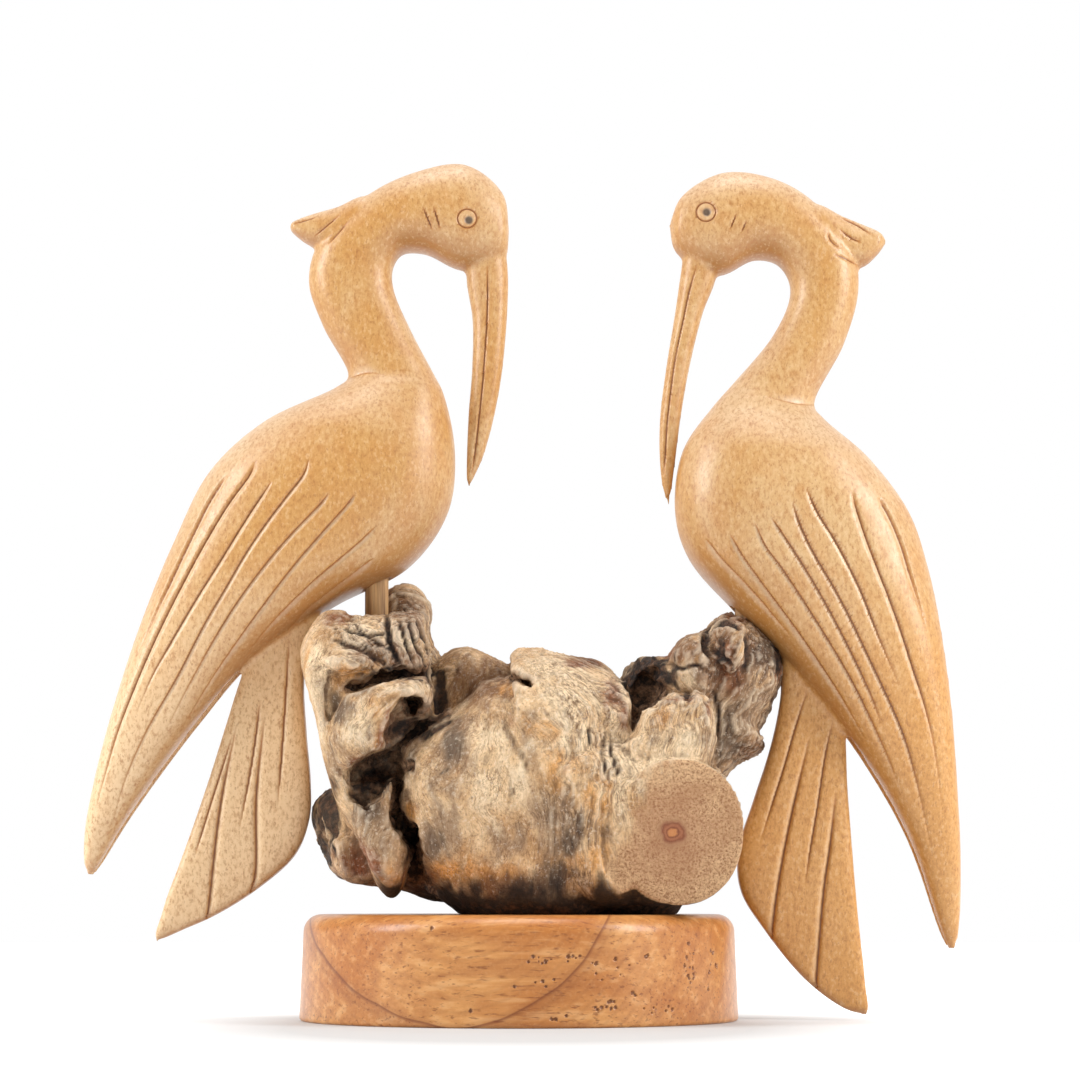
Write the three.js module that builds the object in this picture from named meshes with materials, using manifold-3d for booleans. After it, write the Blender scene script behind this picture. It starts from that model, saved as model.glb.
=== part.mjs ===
// Carved wooden crane pair, standing on a weathered root on a turned base.
// Millimetres, +Z up. X runs to the viewer's right and -Y points at the viewer.
// The origin is the centre of the base's underside.
import * as THREE from 'three';
import { ParametricGeometry } from 'three/addons/geometries/ParametricGeometry.js';
import { mergeVertices } from 'three/addons/utils/BufferGeometryUtils.js';
import Module from 'manifold-3d';

const wasm = await Module();
wasm.setup();

// Turned base
const BASE_DIAMETER = 100;
const BASE_TOP_DIAMETER = 98.4;
const BASE_HEIGHT = 24;
const BASE_EDGE_RADIUS = 3.5;
const BASE_FOOT_CHAMFER = 0.8;
const BASE_SIDES = 32;
const BASE_ARC_STEPS = 2;

// Pegs between the root and the birds, and the holes that take them
const PEG_DIAMETER = 5.5;
const PEG_SIDES = 12;
const HOLE_GAP = 0.3;
const LEFT_PEG = { x: -33, y: 0, bottom: 86, top: 105 };
const RIGHT_PEG = { x: 52.5, y: 0, bottom: 79, top: 98 };

// The grooves are laid out as they are seen from here, in front of the pair
const VIEWPOINT = new THREE.Vector3(4.8, -740, 27.5);

// Both birds are carved to one design, so these hold for the two of them.
// Half the thickness of the trunk, from the forehead over the neck and back to the wing tips
const TRUNK_HALF = [
  0, 5.2, 8.3, 8.4, 7.8, 7.2, 7, 7.2, 8, 9.6, 15, 17, 16.4, 14.5, 12, 9.6, 6.8, 4, 0,
];
const BILL_HALF = [0, 4, 3.9, 3.4, 2.9, 2.4, 1.8, 1.1, 0];
const CREST_HALF = [0, 6, 5, 3.9, 2.9, 0];
const TAIL_HALF = [0, 4.6, 4.6, 4.5, 4.1, 3.8, 3.4, 2.9, 2.4, 1.7, 0];
// The slot that parts the two folded wings, from the middle of the back to the tips
const SLOT_HALF = [0.4, 1.6, 3.4, 3.6, 2.6, 1.5, 0.8];
const TRUNK_SIDES = 14;
const TRUNK_STEPS = 18;
const BILL_SIDES = 8;
const BILL_STEPS = 8;
const CREST_SIDES = 8;
const CREST_STEPS = 5;
const TAIL_SIDES = 8;
const TAIL_STEPS = 10;
const SLOT_SIDES = 8;
const SLOT_STEPS = 8;
// How square a section is: 2 is an ellipse, and a larger number fills its corners.
// The trunk is round to the shoulders, and flatter along the folded wings.
const ROUND = 2.1;
const FLAT = 3.2;
const SQUARE = 5;
const CREST_SQUARE = 2.6;
const FLATTEN_FROM = 0.6;
const FLATTEN_TO = 0.85;

// Carved lines: how wide and deep each kind is cut
const WING_CUT = { width: 1.6, depth: 1.1, steps: 4 };
const TAIL_CUT = { width: 1.4, depth: 0.9, steps: 2 };
const BILL_CUT = { width: 0.9, depth: 0.5, steps: 3 };
const CREST_CUT = { width: 0.9, depth: 0.6, steps: 2 };
const EYE_RING = { radius: 2.1, cut: 0.5, sides: 9, cutSides: 3 };
// The cutting tool stands this far out of the wood, and ends at this share of its depth
const CUT_LIFT = 0.8;
const CUT_END = 0.02;

// Sections go from the forehead to the wing tip. Each row is the x and z of the back
// edge, then the x and z of the throat and belly edge.
const LEFT_BIRD = {
  trunk: [
    [-2.8, 183, -2.8, 183], [-4.4, 192, -4.2, 176], [-12.3, 198.4, -13, 173.6],
    [-24.5, 197, -22.3, 177.7], [-36, 192, -27.6, 177.5], [-47, 180.5, -29.7, 173.8],
    [-49.3, 171, -29.4, 169], [-45.6, 160.7, -25.4, 159.5], [-39.4, 148.4, -19.8, 148.8],
    [-42.5, 146, -17.8, 144.8], [-59.5, 137.7, -15, 131], [-72, 126, -16.6, 116.6],
    [-80, 109.6, -25.5, 104], [-87.2, 91, -42, 96.2], [-92, 74, -60.5, 83],
    [-96.2, 57.5, -73.5, 68], [-99.1, 43.5, -88.5, 47.4], [-99.4, 36.2, -96, 35.4],
    [-98.6, 31.6, -98.6, 31.6],
  ],
  bill: [
    [-8, 186, -8, 186], [-11.5, 179, -4.2, 180], [-12.2, 171.5, -3, 173],
    [-11, 162, -3.1, 163], [-11.1, 150, -4.3, 150], [-11.7, 139.5, -6.1, 139.5],
    [-12.1, 129.5, -8.8, 129.5], [-12.2, 124.4, -10.8, 124.6], [-12.1, 121.5, -12.1, 121.5],
  ],
  crest: [
    [-30, 188, -30, 188], [-36, 192, -40, 180.5], [-42.5, 189.1, -46.6, 179.1],
    [-49, 186.8, -50.3, 180.4], [-53.3, 185, -53, 182.6], [-54.1, 183.8, -54.1, 183.8],
  ],
  tail: [
    [-52, 102, -52, 102], [-60.5, 88, -46, 94], [-64.6, 76.5, -49.6, 79],
    [-67.8, 66, -49.1, 66], [-71.5, 54, -48, 54], [-75, 43.5, -48.2, 46],
    [-78, 35, -51.6, 38.2], [-80.6, 28, -59.6, 31], [-82, 23.5, -69.6, 24.6],
    [-83, 20.6, -77.5, 20.9], [-83.4, 17.9, -83.4, 17.9],
  ],
  slot: [
    [-76, 135, -78, 128], [-86, 108, -76, 104], [-93, 90, -62, 88],
    [-97, 74, -57, 78], [-101, 57, -68, 64], [-104, 43, -84, 43], [-103, 25, -92, 28],
  ],
  wingCuts: [
    [[-69.1, 123.6], [-79.5, 103.6], [-88.2, 84.1]],
    [[-62.5, 127.3], [-75, 106.4], [-89.5, 74.5], [-97.3, 47]],
    [[-58.2, 123.2], [-70.5, 105.5], [-86, 76]],
    [[-50.3, 125.9], [-65.9, 104.5], [-85, 70], [-93.2, 47.3]],
    [[-45, 120], [-61.4, 101.8], [-79.5, 73.6]],
    [[-38.8, 119.8], [-54.1, 100.9], [-75, 72.7]],
    [[-33.8, 112.9], [-50.5, 97.3], [-63.5, 82.3]],
  ],
  tailCuts: [
    [[-53.4, 84], [-54.5, 64], [-55.6, 48.2]],
    [[-58.9, 74], [-60.5, 50.9], [-60.5, 28]],
    [[-60.5, 67], [-62, 55], [-64.4, 42.7]],
    [[-65, 68.2], [-68.6, 50], [-71.6, 21]],
    [[-67.2, 62], [-71.4, 48], [-74.1, 37.3]],
  ],
  billCuts: [[[-7.5, 174.5], [-8, 155], [-10.9, 127]]],
  crestCuts: [
    [[-52.8, 184.8], [-46.5, 187]],
    [[-48.5, 181.6], [-42, 187.3]],
    [[-45, 180], [-40, 185.7]],
  ],
  eye: [-12.3, 186.2],
};

const RIGHT_BIRD = {
  trunk: [
    [35.5, 184.5, 35.5, 184.5], [38.4, 190.9, 37, 178], [47, 196.4, 46.5, 172],
    [57.5, 196, 55, 176], [67.5, 190.8, 60.2, 175.3], [78, 178.5, 63, 171.4],
    [79.3, 169, 63.2, 167], [75.6, 156.3, 59.2, 158.2], [68.3, 141.6, 49.6, 146.6],
    [71, 138.4, 45.2, 141.6], [82.3, 130, 38, 131], [91.2, 117, 36.2, 116.5],
    [95.6, 103, 39.4, 105.8], [98.2, 89, 50, 93.6], [100, 71, 62.5, 80.6],
    [100.8, 54, 74.8, 65.3], [101.4, 37, 88.6, 42.3], [100.7, 21.5, 96.2, 20.8],
    [99.3, 13.8, 99.3, 13.8],
  ],
  bill: [
    [42, 186, 42, 186], [39, 179.5, 46.5, 179], [38, 173.3, 46.3, 171.8],
    [36.4, 163.8, 42.9, 163.6], [34.2, 150.3, 39.6, 150.3], [32.8, 139.5, 37.7, 139.5],
    [32.6, 129.5, 36.4, 129.5], [33.4, 122, 35.4, 122], [34.7, 118.1, 34.7, 118.1],
  ],
  crest: [
    [65, 188, 65, 188], [69.5, 189.9, 71.5, 178.6], [75.5, 186.8, 75.8, 176.6],
    [80.3, 184.7, 79.9, 174.8], [84.3, 182.4, 83.1, 177.8], [85.6, 180.9, 85.6, 180.9],
  ],
  tail: [
    [68, 96, 68, 96], [61, 86, 74.6, 76], [60.4, 74, 75.1, 64],
    [58, 62.5, 75.4, 53], [53.9, 50, 76.1, 42.7], [50.3, 38.5, 76.9, 31.5],
    [50.8, 29.4, 77.7, 22], [56.5, 20, 78.6, 13.5], [65.4, 9.2, 79.2, 7],
    [74, 3, 79.7, 3], [79.4, 1.3, 79.4, 1.3],
  ],
  slot: [
    [92, 133, 90, 126], [101, 104, 84, 102], [104, 88, 72, 82],
    [105, 70, 66, 70], [106, 54, 70, 58], [106, 37, 84, 34], [104, 8, 90, 12],
  ],
  wingCuts: [
    [[84.5, 119.5], [90, 106.4], [94.3, 89.5]],
    [[78.5, 120.2], [87.7, 91.8], [94.5, 66.4], [97.7, 43.6]],
    [[67.5, 121.6], [79.5, 97.3], [88.5, 74.5]],
    [[63.9, 118.6], [75, 94.5], [87.7, 66.4], [95.2, 36.4]],
    [[60, 113.6], [69.5, 96.4], [82, 71.8]],
    [[55.3, 113.2], [69.5, 90], [79.5, 71.8], [87.7, 52.7]],
    [[49.5, 110], [65, 88.2], [80.5, 62.7]],
  ],
  tailCuts: [
    [[66, 73.5], [60.9, 57.3], [55.2, 40]],
    [[67.1, 65], [61.8, 42.7], [57.4, 16]],
    [[72, 66], [68.6, 48.2], [65.5, 30]],
    [[73, 52.7], [70, 30], [67.5, 6]],
  ],
  billCuts: [[[41.3, 174.5], [38, 161], [33.7, 128]]],
  crestCuts: [
    [[72.3, 183], [75.3, 179]],
    [[74.7, 184], [81, 180]],
    [[75.3, 186.3], [83.2, 182.2]],
  ],
  eye: [43.7, 187.8],
};

// The root's lobes: each is its outline seen from the front, its nearest and farthest y,
// the point that the outline shrinks to, how full its front and back are (less is fuller),
// how far its face waves in and out, and how many facets it has round and across.
const ROOT_LOBES = [
  // The great lobe in the middle, which also reaches down to the base
  {
    outline: [
      [-1.8, 83.6], [6, 84], [14, 81.5], [20, 76], [25, 64], [26.5, 48], [26, 32], [18, 18],
      [0, 17.5], [-14, 24], [-21.6, 36], [-26.8, 52], [-26.2, 60], [-17, 68.6], [-8, 75.5],
    ],
    centre: [1, 50], front: -35, back: 30, fullness: 0.42, waves: 1.4, sides: 17, rings: 7,
  },
  // Its right shoulder, which the sawn branch grows from
  {
    outline: [
      [10, 82], [19, 79.6], [25, 76], [31, 71], [42, 66], [44.5, 54], [42, 38], [35, 23],
      [22, 18], [10, 28], [6, 60],
    ],
    centre: [27, 48], front: -30, back: 27, fullness: 0.42, waves: 1.2, sides: 14, rings: 6,
  },
  // The left lobe, a block with a torn top
  {
    outline: [
      [-20, 84], [-21.6, 92.6], [-30, 93.6], [-38.2, 92.6], [-44.5, 92.3], [-49.6, 86],
      [-49.4, 77], [-46.2, 66], [-43, 54], [-38, 42], [-28, 40], [-22, 60], [-19, 73],
    ],
    centre: [-33, 72], front: -24, back: 15, fullness: 0.42, waves: 1.2, sides: 15, rings: 7,
  },
  // The bump on its front and the tongue that hangs below it
  {
    outline: [
      [-40.4, 70], [-37, 78], [-30, 79.6], [-23, 78], [-21.5, 71], [-26, 62], [-33, 53],
      [-39, 56],
    ],
    centre: [-32, 67], front: -32, back: -6, fullness: 0.5, waves: 0.8, sides: 12, rings: 5,
  },
  {
    outline: [
      [-35, 58], [-26, 57], [-25, 45], [-25.4, 35], [-28.5, 28], [-32, 32.5], [-37, 44],
    ],
    centre: [-30.5, 46], front: -29, back: -8, fullness: 0.5, waves: 0.6, sides: 12, rings: 5,
  },
  // The stump behind the left peg
  {
    outline: [
      [-30.4, 98.6], [-26.4, 99.8], [-22, 98], [-19.8, 90], [-16, 76], [-24, 66], [-34, 70],
      [-33, 88],
    ],
    centre: [-26, 83], front: 2, back: 24, fullness: 0.42, waves: 0.6, sides: 12, rings: 5,
  },
  // The dark lumps low at the back left
  {
    outline: [
      [-42.6, 54], [-46.8, 50.6], [-48, 46], [-45, 37], [-40.6, 32.2], [-30, 30.2],
      [-14, 28], [-10, 44], [-20, 60], [-34, 62],
    ],
    centre: [-30, 44], front: -10, back: 27, fullness: 0.45, waves: 1, sides: 14, rings: 5,
  },
  // The round knob seen between the lobes
  {
    outline: [
      [-23.6, 76], [-19.6, 81.8], [-14.4, 86], [-7.6, 84.8], [0, 79.6], [4, 66], [-8, 56],
      [-22, 60],
    ],
    centre: [-9, 71], front: -5, back: 24, fullness: 0.5, waves: 0.3, sides: 13, rings: 6,
  },
  // The arm that carries the right bird, the knot on it and the lip below the rotted hole
  {
    outline: [
      [40, 50], [47, 55], [56, 61.5], [55, 66.5], [58.6, 72.6], [60.6, 80], [59.4, 86],
      [54, 91], [48, 93.4], [42.4, 89.5], [35, 84.4], [27, 82.2], [23.5, 74], [28, 60],
    ],
    centre: [44, 74], front: -15, back: 24, fullness: 0.45, waves: 1, sides: 16, rings: 6,
  },
  {
    outline: [[43.5, 84], [45.5, 89], [49.5, 90], [52.4, 87], [52, 81], [48.5, 78], [44.8, 79.5]],
    centre: [48.2, 84.4], front: -18.5, back: -4, fullness: 0.6, waves: 0.2, sides: 9, rings: 5,
  },
  {
    outline: [
      [23, 62], [28.6, 68.6], [34, 72.4], [41, 73], [43.6, 69], [42.6, 60], [34, 52],
      [25, 54],
    ],
    centre: [35, 63], front: -35, back: -12, fullness: 0.5, waves: 0.5, sides: 12, rings: 5,
  },
];
// The sawn branch: its middle line runs towards the viewer and ends in a flat cut
const BRANCH = { from: [31, 0, 47], to: [35.8, -36, 41.9], halfWidth: 13.7, halfHeight: 16.3 };
const BRANCH_SIDES = 16;
// A cylinder stands along this axis before it is turned
const LOG_AXIS = new THREE.Vector3(0, 1, 0);
// Rotted hollows: middle x, y, z and half sizes
const HOLLOWS = [
  { at: [28.6, -19, 76], half: [5, 9, 8] },
  { at: [-23.6, -22, 39.5], half: [3, 12, 8] },
  { at: [-26.5, -27, 72], half: [4.6, 6, 6] },
];
const HOLLOW_SIDES = 8;
const HOLLOW_RINGS = 5;
// Weather cracks in the root's face
const CRACK_CUT = { width: 2.8, depth: 2.4, steps: 3 };
const CRACKS = [
  [[-42.5, 79.5], [-32, 80], [-21, 78.5]],
  [[-24, 74], [-30, 64], [-36.5, 56]],
  [[28, 68], [25.5, 60], [27.5, 47]],
];
// A lobe's face rises and falls this many times round, and twists as it nears the back
const WAVES_ROUND = 7;
const WAVE_TWIST = 5;
// Space kept between the root and the birds
const BIRD_GAP = 0.45;
// Half the side of the block that trims the root's foot level with the base's top
const TRIM_HALF = 100;
// Points nearer to each other than this are one point
const SAME_POINT = 1e-3;

// A smooth curve through points that are picked out of a list
function track(list, pick, closed = false) {
  const points = list.map((item) => new THREE.Vector3(...pick(item)));
  return new THREE.CatmullRomCurve3(points, closed, 'centripetal');
}

// A power that keeps the sign, which squares off a circle's sine and cosine
function signedPower(value, power) {
  return Math.sign(value) * Math.abs(value) ** power;
}

// Six times the volume inside a closed mesh, negative when its faces point in
function signedVolume(xyz, corners) {
  const [a, b, c] = [new THREE.Vector3(), new THREE.Vector3(), new THREE.Vector3()];
  let sum = 0;
  for (let i = 0; i < corners.length; i += 3) {
    a.fromArray(xyz, corners[i] * 3);
    b.fromArray(xyz, corners[i + 1] * 3);
    c.fromArray(xyz, corners[i + 2] * 3);
    sum += a.dot(b.cross(c));
  }
  return sum;
}

// A geometry as a closed body: like points merged, flat triangles dropped, faces out
function solid(geometry) {
  const bare = geometry.clone();
  bare.deleteAttribute('normal');
  bare.deleteAttribute('uv');
  const merged = mergeVertices(bare, SAME_POINT);
  const from = merged.index.array;
  const corners = [];
  for (let i = 0; i < from.length; i += 3) {
    const [a, b, c] = [from[i], from[i + 1], from[i + 2]];
    if (a !== b && b !== c && c !== a) {
      corners.push(a, b, c);
    }
  }
  const vertProperties = new Float32Array(merged.attributes.position.array);
  if (signedVolume(vertProperties, corners) < 0) {
    corners.reverse();
  }
  const mesh = new wasm.Mesh({ numProp: 3, vertProperties, triVerts: new Uint32Array(corners) });
  return new wasm.Manifold(mesh);
}

function geometryOf(body) {
  const mesh = body.getMesh();
  const geometry = new THREE.BufferGeometry();
  geometry.setAttribute('position', new THREE.BufferAttribute(mesh.vertProperties, 3));
  geometry.setIndex(new THREE.BufferAttribute(mesh.triVerts, 1));
  geometry.computeVertexNormals();
  return geometry;
}

// Sections strung between two edge curves in the plane y = 0, and thick in y. The first
// and last rows are single points, so the form closes on itself. A grown loft is thicker
// all round by that much.
function loft(rows, halves, { sides, steps, square, grow = 0 }) {
  const back = track(rows, ([x, z]) => [x, 0, z]);
  const front = track(rows, ([, , x, z]) => [x, 0, z]);
  const half = track(halves, (value) => [value, 0, 0]);
  const reach = new THREE.Vector3();
  const point = (around, along, target) => {
    const from = back.getPoint(along);
    const to = front.getPoint(along);
    const extra = along === 0 || along === 1 ? 0 : grow;
    reach.subVectors(to, from).multiplyScalar(0.5);
    reach.setLength(reach.length() + extra);
    const angle = around * 2 * Math.PI;
    const power = 2 / square(along);
    target.addVectors(from, to).multiplyScalar(0.5);
    target.addScaledVector(reach, signedPower(Math.cos(angle), power));
    const thick = Math.max(half.getPoint(along).x, 0) + extra;
    target.y = thick * signedPower(Math.sin(angle), power);
  };
  return solid(new ParametricGeometry(point, sides, steps));
}

// The same row with its two points moved to their middle
function closedRow([ax, az, bx, bz]) {
  const [x, z] = [(ax + bx) / 2, (az + bz) / 2];
  return [x, z, x, z];
}

// A lobe is its outline, drawn in towards its centre as it nears the front and the back
function lobe({ outline, centre, front, back, fullness, waves, sides, rings }) {
  const edge = track(outline, ([x, z]) => [x, 0, z], true);
  const middle = new THREE.Vector3(centre[0], 0, centre[1]);
  const depth = (back - front) / 2;
  const point = (around, along, target) => {
    const turn = along * Math.PI;
    const phase = WAVES_ROUND * around * 2 * Math.PI + WAVE_TWIST * along;
    const ripple = waves * Math.sin(turn) * Math.cos(turn) * Math.sin(phase);
    target.copy(edge.getPoint(around % 1)).sub(middle);
    const shrink = 1 - Math.abs(ripple) / target.length();
    target.multiplyScalar(Math.sin(turn) ** fullness * shrink);
    target.add(middle);
    target.y = front + depth * (1 - Math.cos(turn)) + ripple;
  };
  return solid(new ParametricGeometry(point, sides, rings));
}

// Where the line from the viewpoint through (x, 0, z) first meets the wood
function seenPoint(target, x, z) {
  const aim = new THREE.Vector3(x, 0, z);
  const ray = new THREE.Raycaster(VIEWPOINT, aim.clone().sub(VIEWPOINT).normalize());
  const hits = ray.intersectObject(target);
  return hits.length ? hits[0].point : aim;
}

// A V-shaped cutter that follows a carved line and runs out shallow at both ends.
// Side -1 cuts the near face, and side 1 the same line mirrored on the far face.
function cutter(target, line, { width, depth, steps }, side) {
  const path = track(line, ([x, z]) => [x, 0, z]);
  const depthAxis = new THREE.Vector3(0, 1, 0);
  const stations = [];
  for (let i = 0; i <= steps; i += 1) {
    const at = path.getPointAt(i / steps);
    const across = path.getTangentAt(i / steps).cross(depthAxis);
    const sink = depth * (Math.sqrt(Math.sin(Math.PI * i / steps)) + CUT_END);
    stations.push({ spot: seenPoint(target, at.x, at.z), across, sink });
  }
  const rings = steps + 2;
  const point = (around, along, corner3) => {
    const ring = Math.round(along * rings);
    const { spot, across, sink } = stations[THREE.MathUtils.clamp(ring - 1, 0, steps)];
    const corner = ring === 0 || ring === rings ? 0 : Math.round(around * 3) % 3;
    corner3.copy(spot);
    if (corner === 0) {
      corner3.y += sink;
    } else {
      const spread = (sink + CUT_LIFT) * width / 2 / depth;
      corner3.addScaledVector(across, corner === 1 ? spread : -spread);
      corner3.y -= CUT_LIFT;
    }
    corner3.y *= -side;
  };
  return solid(new ParametricGeometry(point, 3, rings));
}

function cutBothSides(body, target, lines, cut) {
  let result = body;
  for (const line of lines) {
    result = result.subtract(cutter(target, line, cut, -1));
    result = result.subtract(cutter(target, line, cut, 1));
  }
  return result;
}

// A ring cut round the eye on each side of the head
function cutEyes(body, target, [x, z]) {
  const spot = seenPoint(target, x, z);
  const { radius, cut, sides, cutSides } = EYE_RING;
  let result = body;
  for (const y of [spot.y, -spot.y]) {
    const ring = new THREE.TorusGeometry(radius, cut, cutSides, sides);
    ring.rotateX(Math.PI / 2);
    ring.translate(spot.x, y, spot.z);
    result = result.subtract(solid(ring));
  }
  return result;
}

// An upright round stick, standing at the origin's height
function stick(radius, length) {
  const round = new THREE.CylinderGeometry(radius, radius, length, PEG_SIDES);
  round.rotateX(Math.PI / 2);
  return round;
}

function pegHole({ x, y, bottom, top }) {
  const hole = stick(PEG_DIAMETER / 2 + HOLE_GAP, top - bottom);
  hole.translate(x, y, (top + bottom) / 2);
  return solid(hole);
}

// The shapes of a bird before its lines are carved, joined into one piece of wood
function birdBlank(bird, grow = 0) {
  const flatten = (along) => THREE.MathUtils.smoothstep(along, FLATTEN_FROM, FLATTEN_TO);
  const trunkSquare = (along) => THREE.MathUtils.lerp(ROUND, FLAT, flatten(along));
  const trunk = loft(bird.trunk, TRUNK_HALF,
    { sides: TRUNK_SIDES, steps: TRUNK_STEPS, square: trunkSquare, grow });
  const bill = loft(bird.bill, BILL_HALF,
    { sides: BILL_SIDES, steps: BILL_STEPS, square: () => ROUND, grow });
  const crest = loft(bird.crest, CREST_HALF,
    { sides: CREST_SIDES, steps: CREST_STEPS, square: () => CREST_SQUARE, grow });
  const tail = loft(bird.tail, TAIL_HALF,
    { sides: TAIL_SIDES, steps: TAIL_STEPS, square: () => SQUARE, grow });
  const slotRows = [closedRow(bird.slot[0]), ...bird.slot, closedRow(bird.slot.at(-1))];
  const slot = loft(slotRows, [0, ...SLOT_HALF, 0],
    { sides: SLOT_SIDES, steps: SLOT_STEPS, square: () => SQUARE });
  return trunk.subtract(slot).add(bill).add(crest).add(tail);
}

function crane(bird, hole) {
  const blank = birdBlank(bird);
  const target = new THREE.Mesh(geometryOf(blank));
  let body = cutBothSides(blank, target, bird.wingCuts, WING_CUT);
  body = cutBothSides(body, target, bird.tailCuts, TAIL_CUT);
  body = cutBothSides(body, target, bird.billCuts, BILL_CUT);
  body = cutBothSides(body, target, bird.crestCuts, CREST_CUT);
  body = cutEyes(body, target, bird.eye);
  return geometryOf(body.subtract(pegHole(hole)));
}

// A short log whose near end is sawn flat
function sawnBranch({ from, to, halfWidth, halfHeight }) {
  const start = new THREE.Vector3(...from);
  const end = new THREE.Vector3(...to);
  const log = new THREE.CylinderGeometry(1, 1, 1, BRANCH_SIDES);
  log.scale(halfWidth, start.distanceTo(end), halfHeight);
  const length = start.clone().sub(end).normalize();
  log.applyQuaternion(new THREE.Quaternion().setFromUnitVectors(LOG_AXIS, length));
  const middle = start.add(end).multiplyScalar(0.5);
  log.translate(middle.x, middle.y, middle.z);
  return solid(log);
}

function rootBurl() {
  let body = sawnBranch(BRANCH);
  for (const form of ROOT_LOBES) {
    body = body.add(lobe(form));
  }
  for (const { at, half } of HOLLOWS) {
    const hollow = new THREE.SphereGeometry(1, HOLLOW_SIDES, HOLLOW_RINGS);
    hollow.scale(...half);
    hollow.translate(...at);
    body = body.subtract(solid(hollow));
  }
  const target = new THREE.Mesh(geometryOf(body));
  for (const crack of CRACKS) {
    body = body.subtract(cutter(target, crack, CRACK_CUT, -1));
  }
  const below = new THREE.BoxGeometry(TRIM_HALF * 2, TRIM_HALF * 2, BASE_HEIGHT * 2);
  body = body.subtract(solid(below));
  for (const bird of [LEFT_BIRD, RIGHT_BIRD]) {
    body = body.subtract(birdBlank(bird, BIRD_GAP));
  }
  for (const hole of [LEFT_PEG, RIGHT_PEG]) {
    body = body.subtract(pegHole(hole));
  }
  return geometryOf(body);
}

// The disc is turned: its half profile is spun about the upright axis
function turnedBase() {
  const foot = BASE_DIAMETER / 2;
  const top = BASE_TOP_DIAMETER / 2;
  const arcX = top - BASE_EDGE_RADIUS;
  const arcZ = BASE_HEIGHT - BASE_EDGE_RADIUS;
  const profile = new THREE.Path();
  profile.moveTo(0, 0);
  profile.lineTo(foot - BASE_FOOT_CHAMFER, 0);
  profile.lineTo(foot, BASE_FOOT_CHAMFER);
  profile.lineTo(top, arcZ);
  profile.absarc(arcX, arcZ, BASE_EDGE_RADIUS, 0, Math.PI / 2, false);
  profile.lineTo(0, BASE_HEIGHT);
  const base = new THREE.LatheGeometry(profile.getPoints(BASE_ARC_STEPS), BASE_SIDES);
  base.rotateX(Math.PI / 2);
  return geometryOf(solid(base));
}

function piece(name, geometry, color, roughness) {
  const material = new THREE.MeshStandardMaterial({ color, roughness, metalness: 0 });
  const mesh = new THREE.Mesh(geometry, material);
  mesh.name = name;
  return mesh;
}

function peg(name, { x, y, bottom, top }) {
  const geometry = geometryOf(solid(stick(PEG_DIAMETER / 2, top - bottom)));
  const mesh = piece(name, geometry, 0x9a7650, 0.7);
  mesh.position.set(x, y, (bottom + top) / 2);
  return mesh;
}

const pair = new THREE.Group();
pair.add(piece('round_base', turnedBase(), 0xc8834a, 0.45));
pair.add(piece('root_burl', rootBurl(), 0x9b8468, 0.8));
pair.add(peg('left_peg', LEFT_PEG));
pair.add(peg('right_peg', RIGHT_PEG));
pair.add(piece('left_crane', crane(LEFT_BIRD, LEFT_PEG), 0xd9b98c, 0.5));
pair.add(piece('right_crane', crane(RIGHT_BIRD, RIGHT_PEG), 0xd6b384, 0.5));

export default pair;
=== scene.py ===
# %% [markdown]
# # Two carved cranes on a driftwood root
# The ornament is six pieces of wood: a turned disc, a piece of weathered root that stands on
# it, two short pegs, and two cranes that are each carved from one block.
# Every surface here is worked out with numpy as whole arrays, in millimetres, and goes into
# its mesh in metres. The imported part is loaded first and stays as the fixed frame.

import math

import bpy
import numpy as np
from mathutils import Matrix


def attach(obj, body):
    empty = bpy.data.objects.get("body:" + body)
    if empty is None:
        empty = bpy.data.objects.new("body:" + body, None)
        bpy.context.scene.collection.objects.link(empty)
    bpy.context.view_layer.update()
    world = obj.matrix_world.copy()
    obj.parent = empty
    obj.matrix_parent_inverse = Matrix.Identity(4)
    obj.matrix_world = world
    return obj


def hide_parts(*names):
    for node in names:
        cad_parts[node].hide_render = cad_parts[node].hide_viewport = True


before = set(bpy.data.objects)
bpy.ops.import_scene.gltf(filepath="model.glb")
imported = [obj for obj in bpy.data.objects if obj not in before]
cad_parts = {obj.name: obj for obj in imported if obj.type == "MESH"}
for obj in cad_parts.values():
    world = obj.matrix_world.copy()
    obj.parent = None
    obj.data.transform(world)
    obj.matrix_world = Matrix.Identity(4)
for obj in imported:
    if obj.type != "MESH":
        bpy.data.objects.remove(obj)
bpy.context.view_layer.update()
MM = 0.001
print("nodes:", sorted(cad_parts))

# %% [markdown]
# ## Curves
# A carver's outline is a few points joined by a fair curve. A centripetal Catmull-Rom curve
# passes through every point and never loops, so measured points can be used as they are.
# A Bezier curve would need handles as well.

# %% Curves through points

# Points closer than this, as the square root of their distance, count as one point
ONE_SPOT = 1e-4


def table(text):
    """Rows of numbers as an array, from text with a comma between two rows."""
    return np.array([row.split() for row in text.split(",")], float)


def tables(text):
    """Several tables, with a semicolon between two of them."""
    return [table(part) for part in text.split(";")]


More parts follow.
